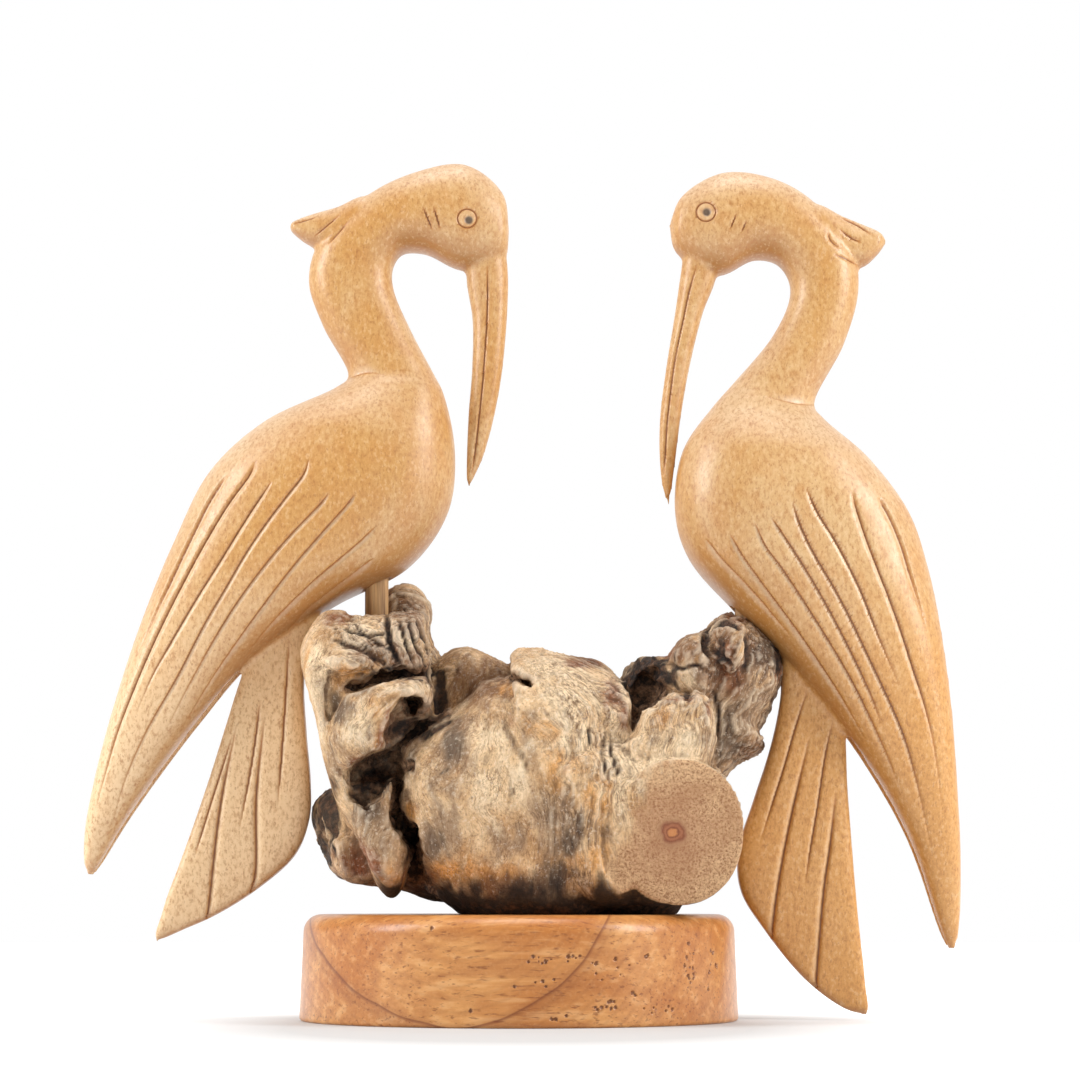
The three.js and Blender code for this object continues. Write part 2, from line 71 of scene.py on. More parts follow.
def curve(points, share, closed=False):
    """Positions on the curve for each share of the way, 0 to 1. Between two points it is the
    cubic with slopes p' = (p1-p0)/a - (p2-p0)/(a+b) + (p2-p1)/b, with a and b the square
    roots of the distances between neighbours."""
    points = np.asarray(points, float)
    count = len(points) if closed else len(points) - 1
    span = np.clip(share, 0, 1) * count
    index = np.minimum(span.astype(int), count - 1)
    w = (span - index)[:, None]
    if closed:
        p0, p1, p2, p3 = (points[(index + k) % count] for k in (-1, 0, 1, 2))
    else:
        ends = 2 * points[[0, -1]] - points[[1, -2]]
        longer = np.vstack([ends[:1], points, ends[1:]])
        p0, p1, p2, p3 = (longer[index + k] for k in range(4))
    a, b, c = (np.sqrt(np.linalg.norm(q - p, axis=1))[:, None]
               for p, q in ((p0, p1), (p1, p2), (p2, p3)))
    b = np.where(b < ONE_SPOT, 1, b)
    a = np.where(a < ONE_SPOT, b, a)
    c = np.where(c < ONE_SPOT, b, c)
    leave = ((p1 - p0) / a - (p2 - p0) / (a + b) + (p2 - p1) / b) * b
    arrive = ((p2 - p1) / b - (p3 - p1) / (b + c) + (p3 - p2) / c) * b
    rise = p2 - p1
    return p1 + w * (leave + w * (3 * rise - 2 * leave - arrive
                                  + w * (leave + arrive - 2 * rise)))


def smooth_step(x, low, high):
    """0 below low, 1 above high, and an S-shaped rise between them."""
    x = np.clip((x - low) / (high - low), 0, 1)
    return x * x * (3 - 2 * x)


def signed_power(value, power):
    """Squares off a circle's sine and cosine: |value| to a power, with value's sign."""
    return np.sign(value) * np.abs(value) ** power


print("a quarter of the way over a bow:", curve([(0, 0), (2, 1), (4, 0)], np.array([0.25])))

# %% [markdown]
# ## Skins
# A loft strings sections between two edge curves, as a carver rounds over a block's side
# outline. A turned piece is a half profile spun round an axis. Box modelling could make both,
# but no number would say how thick a wing is. A skin joins the grid's points with triangles,
# and its first and last rows are single points, so that it closes.

# %% Lofts and turned grids

# A form's sections turn from its first squareness to its second between these two shares
SQUARING = (0.6, 0.85)


def round_angles(count):
    """The angles of that many points, evenly round a circle."""
    return np.arange(count) * 2 * np.pi / count


def loft(edges, halves, square, around, along):
    """Sections from a back curve B(t) to a front curve F(t) in the plane y = 0. Each point is
    (B+F)/2 + (F-B)/2 cos^(2/n) + thickness(t) sin^(2/n) along y, with signed powers. The
    squareness n goes from the first to the second of two numbers."""
    t = np.linspace(0, 1, along + 1)
    back = curve(edges[:, :2], t)
    front = curve(edges[:, 2:], t)
    half = np.maximum(curve(np.array(halves, float)[:, None], t), 0)
    angle = round_angles(around)
    power = 2 / (square[0] + (square[1] - square[0]) * smooth_step(t, *SQUARING))[:, None]
    wide = signed_power(np.cos(angle), power)
    middle = (back + front) / 2
    reach = (front - back) / 2
    grid = np.empty((along + 1, around, 3))
    grid[..., 0] = middle[:, :1] + reach[:, :1] * wide
    grid[..., 1] = half * signed_power(np.sin(angle), power)
    grid[..., 2] = middle[:, 1:] + reach[:, 1:] * wide
    return grid


def turned(profile, around, at=(0, 0), wave=1):
    """A half profile, read as radius and height, spun round an upright axis: the point is
    radius · wave · (cos, sin) from the axis, where the wave may change round the piece."""
    profile = np.asarray(profile, float)
    angle = round_angles(around)
    grid = np.empty((len(profile), around, 3))
    grid[..., 0] = at[0] + profile[:, :1] * wave * np.cos(angle)
    grid[..., 1] = at[1] + profile[:, :1] * wave * np.sin(angle)
    grid[..., 2] = profile[:, 1:]
    return grid


print("a turned grid:", turned([(0, 0), (1, 0), (1, 9), (0, 9)], 8).shape)

# %% Skins over a grid, and their objects


def volume(points, tris):
    """Six times the volume inside a closed skin, negative when its faces point in."""
    a, b, c = (points[tris[:, k]] for k in range(3))
    return np.einsum("ij,ij->", a, np.cross(b, c))


def skin(grid):
    """Points and triangles over a grid that closes round each row, with a point at each end."""
    rings, sides = grid.shape[0] - 2, grid.shape[1]
    points = np.vstack([grid[0, :1], grid[1:-1].reshape(-1, 3), grid[-1, :1]])
    ids = 1 + np.arange(rings * sides).reshape(rings, sides)
    beside = np.roll(ids, -1, axis=1)
    a, b, c, d = ids[:-1], beside[:-1], beside[1:], ids[1:]
    first = np.stack([np.zeros(sides, int), beside[0], ids[0]], -1)
    last = np.stack([np.full(sides, len(points) - 1), ids[-1], beside[-1]], -1)
    tris = np.vstack([first, np.stack([a, b, c], -1).reshape(-1, 3),
                      np.stack([a, c, d], -1).reshape(-1, 3), last])
    if volume(points, tris) < 0:
        tris = tris[:, ::-1]
    return points, tris


def mesh_object(name, points, tris):
    """An object at the origin from points in millimetres and triangles, shaded smooth."""
    mesh = bpy.data.meshes.new(name)
    mesh.vertices.add(len(points))
    mesh.vertices.foreach_set("co", (points * MM).astype(np.float32).ravel())
    mesh.loops.add(tris.size)
    mesh.loops.foreach_set("vertex_index", tris.astype(np.int32).ravel())
    mesh.polygons.add(len(tris))
    mesh.polygons.foreach_set("loop_start", np.arange(0, tris.size, 3, dtype=np.int32))
    mesh.polygons.foreach_set("use_smooth", np.ones(len(tris), bool))
    mesh.update(calc_edges=True)
    made = bpy.data.objects.new(name, mesh)
    bpy.context.scene.collection.objects.link(made)
    return made


def stick(radius, at, bottom, top, sides=48):
    """An upright round stick: four rings, the outer two drawn in to a point at each end."""
    return skin(turned([(0, bottom), (radius, bottom), (radius, top), (0, top)], sides, at))


print("a stick's skin:", len(stick(1, (0, 0), 0, 9)[1]), "triangles")

# %% [markdown]
# ## One block of wood
# The forms of a bird, or the lobes of the root, are one piece of wood on the real object.
# A boolean join leaves long thin triangles that no chisel line can be cut into. So the forms
# are joined, then remeshed as even small squares, and the staircase that this leaves is
# relaxed away. Where a line is carved, the triangles are halved again to take the cut.

# %% Joining and remeshing


def arrays_of(mesh):
    """A mesh's points in millimetres and its triangles."""
    mesh.calc_loop_triangles()
    points = np.empty(len(mesh.vertices) * 3, np.float32)
    mesh.vertices.foreach_get("co", points)
    tris = np.empty(len(mesh.loop_triangles) * 3, np.int32)
    mesh.loop_triangles.foreach_get("vertices", tris)
    return points.reshape(-1, 3).astype(float) / MM, tris.reshape(-1, 3)


def fuse(first, steps, voxel):
    """Joins closed shells to the first one, or cuts them away from it, in the order of the
    steps, and remeshes the result as even squares."""
    parts = [mesh_object("form", *shell) for shell in [first] + [shell for _, shell in steps]]
    block = parts[0]
    for (operation, _), part in zip(steps, parts[1:]):
        step = block.modifiers.new("step", "BOOLEAN")
        step.solver = "MANIFOLD"
        step.operation = operation
        step.object = part
    remesh = block.modifiers.new("remesh", "REMESH")
    remesh.mode = "VOXEL"
    remesh.voxel_size = voxel * MM
    bpy.context.view_layer.update()
    graph = bpy.context.evaluated_depsgraph_get()
    mesh = bpy.data.meshes.new_from_object(block.evaluated_get(graph))
    result = arrays_of(mesh)
    bpy.data.meshes.remove(mesh)
    for part in parts:
        old = part.data
        bpy.data.objects.remove(part)
        bpy.data.meshes.remove(old)
    return result

# %% Relaxing the staircase

# Each round draws every point in by the first share, then lets it out by the second
RELAX_SHARES = (0.5, -0.52)
print("relaxed by shares", RELAX_SHARES)


def edges_of(tris):
    """Each edge once, as a pair of point numbers."""
    pairs = np.sort(np.vstack([tris[:, [0, 1]], tris[:, [1, 2]], tris[:, [2, 0]]]), axis=1)
    top = int(tris.max()) + 1
    keys = np.unique(pairs[:, 0].astype(np.int64) * top + pairs[:, 1])
    return np.stack([keys // top, keys % top], -1)


def neighbour_mean(values, edges, count):
    """For each point the mean of its neighbours' values."""
    number = np.bincount(edges.ravel(), minlength=count)[:, None]
    total = np.zeros((count, values.shape[1]))
    for k in range(values.shape[1]):
        total[:, k] = (np.bincount(edges[:, 0], values[edges[:, 1], k], count)
                       + np.bincount(edges[:, 1], values[edges[:, 0], k], count))
    return total / np.maximum(number, 1)


def relax(points, edges, rounds):
    """Moves each point towards its neighbours' mean and a little further back out, so that
    steps smooth away and the form doesn't shrink."""
    for _ in range(rounds):
        for share in RELAX_SHARES:
            points = points + share * (neighbour_mean(points, edges, len(points)) - points)
    return points

# %% Finer triangles where a tool cuts


def normals_of(points, tris):
    """The outward normal at each point, from its triangles' normals by area."""
    a, b, c = (points[tris[:, k]] for k in range(3))
    flat = np.cross(b - a, c - a)
    total = np.zeros_like(points)
    for k in range(3):
        for axis in range(3):
            total[:, axis] += np.bincount(tris[:, k], flat[:, axis], len(points))
    return total / np.maximum(np.linalg.norm(total, axis=1, keepdims=True), 1e-12)


def halve(points, tris, near):
    """Splits each edge whose two ends are both near. A triangle becomes one, two or four."""
    sides = np.stack([tris, np.roll(tris, -1, axis=1)], -1)
    low = sides.min(-1).astype(np.int64)
    keys, where = np.unique(low * len(points) + sides.max(-1), return_inverse=True)
    ends = np.stack([keys // len(points), keys % len(points)], -1)
    split = near[ends].all(1)
    middle = np.full(len(keys), -1)
    middle[split] = len(points) + np.arange(split.sum())
    points = np.vstack([points, points[ends[split]].mean(1)])
    middle = middle[where].reshape(-1, 3)
    cut = (middle >= 0).sum(1)
    whole = tris[cut == 0]
    one, mid = tris[cut == 1], middle[cut == 1]
    turn = np.argmax(mid >= 0, axis=1)[:, None]
    corner = np.take_along_axis(one, (turn + np.arange(3)) % 3, 1)
    mid = np.take_along_axis(mid, turn, 1)[:, 0]
    a, b, c = corner.T
    two = np.vstack([np.stack([a, mid, c], -1), np.stack([mid, b, c], -1)])
    a, b, c = tris[cut == 3].T
    ab, bc, ca = middle[cut == 3].T
    four = np.vstack([np.stack(t, -1) for t in
                      ((a, ab, ca), (ab, b, bc), (ca, bc, c), (ab, bc, ca))])
    return points, np.vstack([whole, two, four])


flat_points = np.array([[0, 0, 0], [1, 0, 0], [0, 1, 0]], float)
flat_tris = np.array([[0, 1, 2]])
print("one triangle halved:", len(halve(flat_points, flat_tris, np.full(3, True))[1]))

# %% [markdown]
# ## The cranes: forms
# Each bird is one block with four forms: the trunk from forehead to wing tips, the bill, the
# crest and the tail fan. A slot from the middle of the back parts the folded wings. They could
# be sculpted as one, but four lofts keep each outline where it was measured. The rows are the
# side outline, read as the x and z of the back edge, then of the throat and belly edge.

# %% How thick and how square the forms are

# Half thicknesses from one end to the other, the squareness at both ends (2 is an oval), and
# how many points the grid has around and along
ROUND, FLAT, SQUARE, CREST_SQUARE = 2.1, 3.2, 5, 2.6
BIRD_FORMS = {
    "trunk": dict(halves=[
        0, 5.2, 8.3, 8.4, 7.8, 7.2, 7, 7.2, 8, 9.6, 15, 17, 16.4, 14.5, 12, 9.6, 6.8, 4, 0,
    ], square=(ROUND, FLAT), around=160, along=320),
    "slot": dict(halves=[0, 0.4, 1.6, 3.4, 3.6, 2.6, 1.5, 0.8, 0],
                 square=(SQUARE, SQUARE), around=64, along=120),
    "bill": dict(halves=[0, 4, 3.9, 3.4, 2.9, 2.4, 1.8, 1.1, 0],
                 square=(ROUND, ROUND), around=64, along=140),
    "crest": dict(halves=[0, 6, 5, 3.9, 2.9, 0],
                  square=(CREST_SQUARE, CREST_SQUARE), around=64, along=80),
    "tail": dict(halves=[0, 4.6, 4.6, 4.5, 4.1, 3.8, 3.4, 2.9, 2.4, 1.7, 0],
                 square=(SQUARE, SQUARE), around=96, along=160),
}
BIRD_VOXEL = 0.72
BIRD_RELAX = 3
print("forms:", ", ".join(BIRD_FORMS))

# %% The side outlines

# "away" is the way along x that leads from the breast to the bill
LEFT_BIRD = {
    "away": 1,
    "trunk": table("""
    -2.4 183 -2.4 183, -4 192.1 -3.8 176, -12.7 198.8 -13.4 173.8, -24.5 197 -22.3 177.7,
    -36 191.3 -27.6 177.5, -47 180.5 -29.7 173.8, -49.3 171 -29.4 169, -46 160.7 -25.4 159.5,
    -39.9 148.4 -19.8 148.8, -42.5 146 -17.8 144.8, -59.5 137.7 -15 131, -72 126 -16.6 116.6,
    -80 109.6 -25.5 104, -87.2 91 -42.3 95.3, -92.5 74 -61 82.8, -96.8 57.5 -73.6 68.2,
    -99.4 43.5 -88.6 47.5, -99.6 36.2 -96 35.4, -98.6 31.6 -98.6 31.6"""),
    "bill": table("""
    -8 186 -8 186, -12 179 -3.8 180, -12.4 171.5 -2.7 173, -11 162 -2.9 163, -11.1 150 -4 150,
    -11.9 139.5 -5.8 139.5, -12.3 129.5 -8.5 129.5, -12.3 124.4 -10.7 124.6, -12.2 121.3 -12.2 121.3"""),
    "crest": table("""
    -30 188 -30 188, -36 191.2 -40 180.5, -42.5 188.7 -46.6 178.9, -49 186.8 -50.3 180.4,
    -53.3 185 -53 182.6, -54.1 183.8 -54.1 183.8"""),
    "tail": table("""
    -52 102 -52 102, -60.5 88 -46 94, -64.6 76.5 -49.6 79, -67.8 66 -49.1 66, -71.5 54 -48 54,
    -75 43.5 -48.2 46, -78 35 -51.2 37.8, -80.6 28 -59.2 30.3, -82 23.3 -69.3 23.9,
    -83 20.3 -77.3 20.3, -83.5 17.5 -83.5 17.5"""),
    "slot": table("""
    -77 131.5 -77 131.5, -76 135 -78 128, -86 108 -76 104, -93 90 -62 88, -97 74 -57 78,
    -101 57 -68 64, -104 43 -84 43, -103 25 -92 28, -97.5 26.5 -97.5 26.5"""),
}
RIGHT_BIRD = {
    "away": -1,
    "trunk": table("""
    35.1 184.5 35.1 184.5, 38 191.2 36.8 178, 47.3 196.8 46.6 172.6, 57.5 196.1 55 176.2,
    67.5 191.2 60.2 175.3, 78 178.5 63 171.4, 79.3 169 63.2 167, 75.8 156.3 59.2 158.2,
    68.7 141.6 49.6 146.6, 71 138.4 45.2 141.6, 81.2 129.2 38 131, 90.4 116.5 36.2 116.5,
    94.8 102.8 39.4 105.8, 97.4 88.8 50 93.6, 99.5 71 62.5 80.6, 100.5 54 75 65.5,
    101.1 37 88.7 42.4, 100.6 21.5 96.2 20.8, 99.2 13.2 99.2 13.2"""),
    "bill": table("""
    42 186 42 186, 38.8 179.5 46.5 179, 37.8 173.3 46 171.9, 36.4 163.8 42.9 163.6,
    34.2 150.3 39.6 150.3, 32.8 139.5 37.7 139.5, 32.6 129.5 36.4 129.5, 33.4 122 35.4 122,
    34.7 118.1 34.7 118.1"""),
    "crest": table("""
    65 188 65 188, 69.5 189.3 71.5 178.6, 75.5 186.5 75.8 176.5, 80.3 184.6 80 174.5,
    84.6 182.6 83.7 177.3, 86.1 180.6 86.1 180.6"""),
    "tail": table("""
    68 96 68 96, 61 86 74.6 76, 60.4 74 75.1 64, 58 62.5 75.4 53, 53.9 50 76.1 42.7,
    50.3 38.5 76.9 31.5, 50.8 29.4 77.7 22, 56.5 20 78.6 13.5, 65.4 9.2 79.2 7, 74 2.8 79.7 2.8,
    79.4 1 79.4 1"""),
    "slot": table("""
    91 129.5 91 129.5, 92 133 90 126, 101 104 84 102, 104 88 72 82, 105 70 66 70, 106 54 70 58,
    106 37 84 34, 104 8 90 12, 97 10 97 10"""),
}
print("rows:", [len(bird[form]) for bird in (LEFT_BIRD, RIGHT_BIRD) for form in BIRD_FORMS])

# %% Joining a bird's forms

PEG_RADIUS = 2.75
HOLE_GAP = 0.3
LEFT_PEG = {"at": (-33, 0), "bottom": 86, "top": 105}
RIGHT_PEG = {"at": (52.5, 0), "bottom": 79, "top": 98}
# The bills are swung clear of the breast while the forms are joined: nothing at the hinge's
# height, and this much from the tip's height down
BILL_SWING = 3
BILL_HINGE = 165
BILL_TIP = 140
# A point belongs to the bill when it is this near to it, and this near to the middle plane
BILL_SPARE = 1.3
BILL_HALF_DEPTH = 5


def swing(heights, away):
    """How far the bill is swung at these heights: nothing at its hinge, all of it below."""
    return away * BILL_SWING * smooth_step(BILL_HINGE - heights, 0, BILL_HINGE - BILL_TIP)


def on_bill(points, bird, samples=60):
    """Which points lie on the bill where it hangs swung out: distance to its middle line less
    its own half width there, under a small spare."""
    back, front = bird["bill"][:, :2], bird["bill"][:, 2:]
    middle = (back + front) / 2
    half = np.linalg.norm(front - back, axis=1) / 2
    path = curve(np.column_stack([middle, half]), np.linspace(0, 1, samples))
    path[:, 0] += swing(path[:, 1], bird["away"])
    beside = np.full(len(points), np.inf)
    low = np.flatnonzero(points[:, 2] < BILL_HINGE)
    rel = points[low][:, None, [0, 2]] - path[:, :2]
    beside[low] = (np.sqrt((rel ** 2).sum(-1)) - path[:, 2]).min(1)
    return (beside < BILL_SPARE) & (np.abs(points[:, 1]) < BILL_HALF_DEPTH)


def bird_blank(bird, hole):
    """The bird's forms joined, less the slot between its wings and the hole for its peg."""
    forms = {name: skin(loft(bird[name], **form)) for name, form in BIRD_FORMS.items()}
    bill = forms["bill"][0]
    bill[:, 0] += swing(bill[:, 2], bird["away"])
    steps = [("DIFFERENCE", forms["slot"])]
    steps += [("UNION", forms[name]) for name in ("bill", "crest", "tail")]
    steps.append(("DIFFERENCE", stick(PEG_RADIUS + HOLE_GAP, **hole)))
    points, tris = fuse(forms["trunk"], steps, BIRD_VOXEL)
    points = relax(points, edges_of(tris), BIRD_RELAX)
    back = on_bill(points, bird)
    points[back, 0] -= swing(points[back, 2], bird["away"])
    return points, tris


print("a bill's tip swings by", swing(BILL_TIP, 1), "mm")

# %% [markdown]
# ## The cranes: carved lines
# The feathers, the slit of the bill, the eye rings and the nicks on the cheek are cuts of a
# V tool. A line is drawn where it is seen from the front, and every point of the skin is
# seen from the same place, so the cut's depth is a function of its distance to the line.
# The far side is the near side mirrored, as both are carved to one pattern.

# %% Where a point is seen, and how far it is from a line

VIEW_FROM = np.array([4.8, -740, 27.5])


def seen(points):
    """Where the line of sight through each point meets the plane y = 0, as x and z."""
    reach = -VIEW_FROM[1] / (points[:, 1] - VIEW_FROM[1])
    return VIEW_FROM[[0, 2]] + (points[:, [0, 2]] - VIEW_FROM[[0, 2]]) * reach[:, None]


def beside_line(spots, line, closed=False, samples=48):
    """For each spot the way back to a curve, its distance, negative on the curve's left, and
    the share of the curve's length where it is nearest."""
    path = curve(line, np.linspace(0, 1, samples + 1), closed)
    start, step = path[:-1], np.diff(path, axis=0)
    rel = spots[:, None] - start
    along = np.clip((rel * step).sum(-1) / (step ** 2).sum(-1), 0, 1)
    off = rel - along[..., None] * step
    far = (off ** 2).sum(-1)
    best = far.argmin(1)
    rows = np.arange(len(spots))
    off = off[rows, best]
    side = np.sign(step[best, 1] * off[:, 0] - step[best, 0] * off[:, 1])
    return -off, np.sqrt(far[rows, best]) * side, (best + along[rows, best]) / samples


print("lines are drawn as seen from", VIEW_FROM, "mm")

# %% The lines, as they are seen from the front

# How deep each cut is, how far its steep and its gentle wall reach, the shares of its length
# over which it deepens and runs out, how dark its bottom is, partly painted shade, and how
# pale its gentle wall, a painted highlight
WING_CUT = dict(depth=0.75, steep=0.35, gentle=1.05, lead=0.12, run=0.3, dark=0.95, pale=0.8)
TAIL_CUT = dict(depth=0.6, steep=0.35, gentle=0.7, lead=0.2, run=0.3, dark=0.95, pale=0.6)
NOTCH_CUT = dict(depth=0.8, steep=0.5, gentle=1.1, lead=0.3, run=0.0, dark=0.95, pale=0.4)
BILL_CUT = dict(depth=0.45, steep=0.45, gentle=0.45, lead=0.12, run=0.12, dark=1.0, pale=0.0)
CREST_CUT = dict(depth=0.4, steep=0.35, gentle=0.6, lead=0.25, run=0.3, dark=1.0, pale=0.0)
CHEEK_CUT = dict(depth=0.4, steep=0.3, gentle=0.35, lead=0.3, run=0.3, dark=1.0, pale=0.0)
NECK_CUT = dict(depth=0.5, steep=0.4, gentle=2.0, lead=0.3, run=0.5, dark=0.45, pale=0.4)

# Each bird's back edge is on its steep side of a line that runs from the shoulder to the
# tips, and its tail fan lies between two values of x where it is behind the wings
LEFT_BIRD.update(
    steep_side=1, fan=(-83, -46), eye=dict(at=(-12.3, 186.2), pupil=(-11.9, 185.8)),
    neck_line=table("-40 148.2, -36 149.6, -31 149"),
    wing=tables("""
    -68.1 125.6, -71.8 120.2, -76 111.7, -79.8 103.5, -83.2 95.8, -88.7 82.4;
    -61.4 128.7, -63 125.6, -67.6 119.2, -72.1 111.7, -76.7 103.2, -83.4 89.6, -88.3 78.2,
    -92.7 66.2, -95.6 55.3, -98.2 45;
    -57.6 124.1, -60.7 119.8, -64.9 113.2, -69.5 105.5, -74.6 97.2, -81.2 85.6, -84.9 78.6,
    -89.1 68.1;
    -49 129.5, -50.2 126, -54.2 120.6, -59.1 114, -63.7 107, -68.4 98.6, -72.6 91.2, -79.1 78.2,
    -86 65.8, -91 53.8, -94.2 41;
    -44.2 121.4, -46.3 118.8, -53 111.7, -58.4 105.3, -64.5 97, -69.6 88.8, -76.4 76.2, -82 65;
    -38.3 121, -39.7 119, -45.4 112.5, -50.7 106.3, -56.1 99.3, -63.1 89.5, -71.5 77, -79 64.4;
    -33.1 113.6, -36.6 110.1, -41.9 105.5, -47.3 100.8, -53 95.2, -58.4 89.4, -64.2 81.9;
    -33.9 105.9, -38.1 102.4, -44.2 97.7, -50 92.9, -54.2 88.4"""),
    tail_lines=tables("""
    -53.2 87.3, -54.5 64, -55.6 48.2;
    -59.8 72.7, -61.4 60, -64.4 42.7;
    -66 65.5, -71.4 48, -74.7 36.5"""),
    notches=tables("""
    -58.6 70.5, -60.5 50.9, -60.5 33.6, -61.5 28;
    -65 68.2, -68.6 50, -70.9 28.2, -71.6 21"""),
    bill_line=table("""
    -7.5 176, -7.5 167.7, -7.7 161, -8.2 153, -8.7 146.3, -9.5 138.3, -10.3 131, -11.1 125"""),
    crest_lines=tables("""
    -53.1 184.9, -47.3 186.7;
    -48.3 181.7, -42 187.3;
    -45 180, -40 185.7"""),
    cheek_lines=tables("""
    -22.8 189.2, -20.3 183;
    -20.3 189.2, -18.5 183.3"""))
RIGHT_BIRD.update(
    steep_side=-1, fan=(50, 80.5), eye=dict(at=(43.7, 187.8), pupil=(43.9, 187.7)),
    neck_line=table("69 141.8, 63.5 142.6, 57 144"),
    wing=tables("""
    83.7 120.2, 86.1 116, 88.9 109.1, 90.9 102, 94.2 89.9;
    77.4 121.6, 78.4 118, 80.6 110.9, 83.2 103.8, 85.9 96.6, 88.5 89, 91.1 80.5, 93.8 71.6, 95.8 62,
    97.7 43.6;
    66.7 122.6, 69.5 116.5, 73.3 110.3, 78.7 99.5, 83.6 86.8, 88.5 74.7;
    63.4 119.4, 65.1 114.2, 67.8 108.2, 74.4 96.4, 81 82.5, 88.5 65.3, 91.6 54, 95.2 36.4;
    58.5 115.6, 61.1 111.8, 67.8 101, 74.8 88, 81.9 72.5, 83.6 67.1;
    54.5 114.7, 57 109, 60.7 103.8, 67.8 92.8, 76.6 77.8, 84.1 61.8, 87.7 52.7;
    48.8 111.8, 51.4 106.9, 55.4 101.1, 64.2 89, 73.9 74.3, 80.5 62.7;
    43.3 110.5, 46.6 106, 51.9 100.4, 57.2 94.4, 63.4 87.2"""),
    tail_lines=tables("""
    66.6 75.5, 63.6 66.4, 60.9 57.3, 58.2 49.1, 55.2 40;
    72.3 68.2, 70.5 60, 68.6 48.2, 66.8 38.2, 65.5 30"""),
    notches=tables("""
    67.1 65, 64.1 52.7, 61.8 42.7, 59.5 30.9, 57.3 16;
    73 52.7, 71.4 39.1, 70 30, 67.6 5"""),
    bill_line=table("""
    41.7 175.7, 39.7 169, 38 161, 36.3 153, 35.2 145, 34.3 137, 33.9 130.3, 33.5 125"""),
    crest_lines=tables("""
    72.3 183, 73.2 180.8, 75.3 179;
    75 183.8, 77.6 181.7, 80.5 180.2;
    75.3 186.5, 79.4 184.6, 83 182;
    73.7 177.7, 76.6 176.6, 79.7 174.7"""),
    cheek_lines=tables("""
    51 187.5, 49.3 183.3;
    53.3 185.7, 52 182.7"""))


def strokes_of(bird):
    """Every carved line of a bird as (line, cut, which part of the bird it may touch)."""
    strokes = [(line, WING_CUT, "wing") for line in bird["wing"]]
    strokes += [(line, TAIL_CUT, "tail") for line in bird["tail_lines"]]
    strokes += [(line, NOTCH_CUT, "tail") for line in bird["notches"]]
    strokes += [(line, CREST_CUT, "any") for line in bird["crest_lines"]]
    strokes += [(line, CHEEK_CUT, "any") for line in bird["cheek_lines"]]
    strokes += [(bird["bill_line"], BILL_CUT, "any"), (bird["neck_line"], NECK_CUT, "any")]
    return strokes


print("carved lines:", [len(strokes_of(bird)) for bird in (LEFT_BIRD, RIGHT_BIRD)])

# %% [markdown]
# ## The cranes: cutting the lines
# A texture could paint these lines, but the real ones catch the light on one wall and hold a
# shadow on the other, so they are cut into the mesh. The triangles beside a line are halved,
# the nearest points slide onto the line itself, and then the wood is pushed in. What each
# point learns here, such as how deep it lies in a cut, is kept for the finish to read. The
# finish paints the gentle wall paler, a painted highlight, and the bottom darker, partly
# painted shade.

# %% Which points a line touches

# How far beside a line the skin is made finer, and half the thickness of the tail fan
CUT_REACH = 1.05
FAN_HALF = 5.2
# Points past these shares of a line lie beyond its ends and don't slide onto it
LINE_ENDS = (0.01, 0.99)


def allowed(near, part, fan):
    """Wing lines stay off the tail fan behind the wings, and tail lines stay on it."""
    thin = np.abs(near[:, 1]) < FAN_HALF
    behind = thin & (near[:, 0] > fan[0]) & (near[:, 0] < fan[1])
    return {"wing": ~behind, "tail": thin, "any": np.full(len(near), True)}[part]


def near_stroke(near, spots, line, part, fan, reach):
    """The numbers of the points that lie within reach of a line and that it may touch."""
    low = np.min(line, axis=0) - reach
    high = np.max(line, axis=0) + reach
    inside = ((spots > low) & (spots < high)).all(1) & allowed(near, part, fan)
    chosen = np.flatnonzero(inside)
    back, gap, share = beside_line(spots[chosen], line)
    close = np.abs(gap) < reach
    return chosen[close], back[close], gap[close], share[close]


def fold(points):
    """The far half laid over the near half, so that both are carved alike."""
    near = points.copy()
    near[:, 1] = -np.abs(near[:, 1])
    return near


def line_up(points, tris, strokes, fan):
    """Slides the points next to a line onto it, so that the bottom of the cut is one edge."""
    near = fold(points)
    spots = seen(near)
    edges = edges_of(tris)
    for line, _, part in strokes:
        chosen, back, gap, share = near_stroke(near, spots, line, part, fan, CUT_REACH)
        inner = (share > LINE_ENDS[0]) & (share < LINE_ENDS[1])
        chosen, back, gap = chosen[inner], back[inner], gap[inner]
        signed = np.zeros(len(points))
        signed[chosen] = gap
        way = np.zeros((len(points), 2))
        way[chosen] = back
        a, b = edges.T
        crossing = signed[a] * signed[b] < 0
        a, b = a[crossing], b[crossing]
        nearer = np.unique(np.where(np.abs(signed[a]) < np.abs(signed[b]), a, b))
        points[nearer, 0] += way[nearer, 0]
        points[nearer, 2] += way[nearer, 1]
        spots[nearer] += way[nearer]
    return points

# %% One cut of the tool

# A cut deepens and runs out as its share of the way to these powers, and its walls narrow to
# a part of their width at its ends
LEAD_POWER = 0.7
RUN_POWER = 0.9
END_WALL = 0.35
# The dark bottom, partly painted shade, takes up this part of the steep wall. On the gentle
# wall the pale wood, a painted highlight, starts between these two distances and ends at this
# part of the wall
DARK_PART = 0.75
PALE_START = (0.1, 0.35)
PALE_PART = 0.9


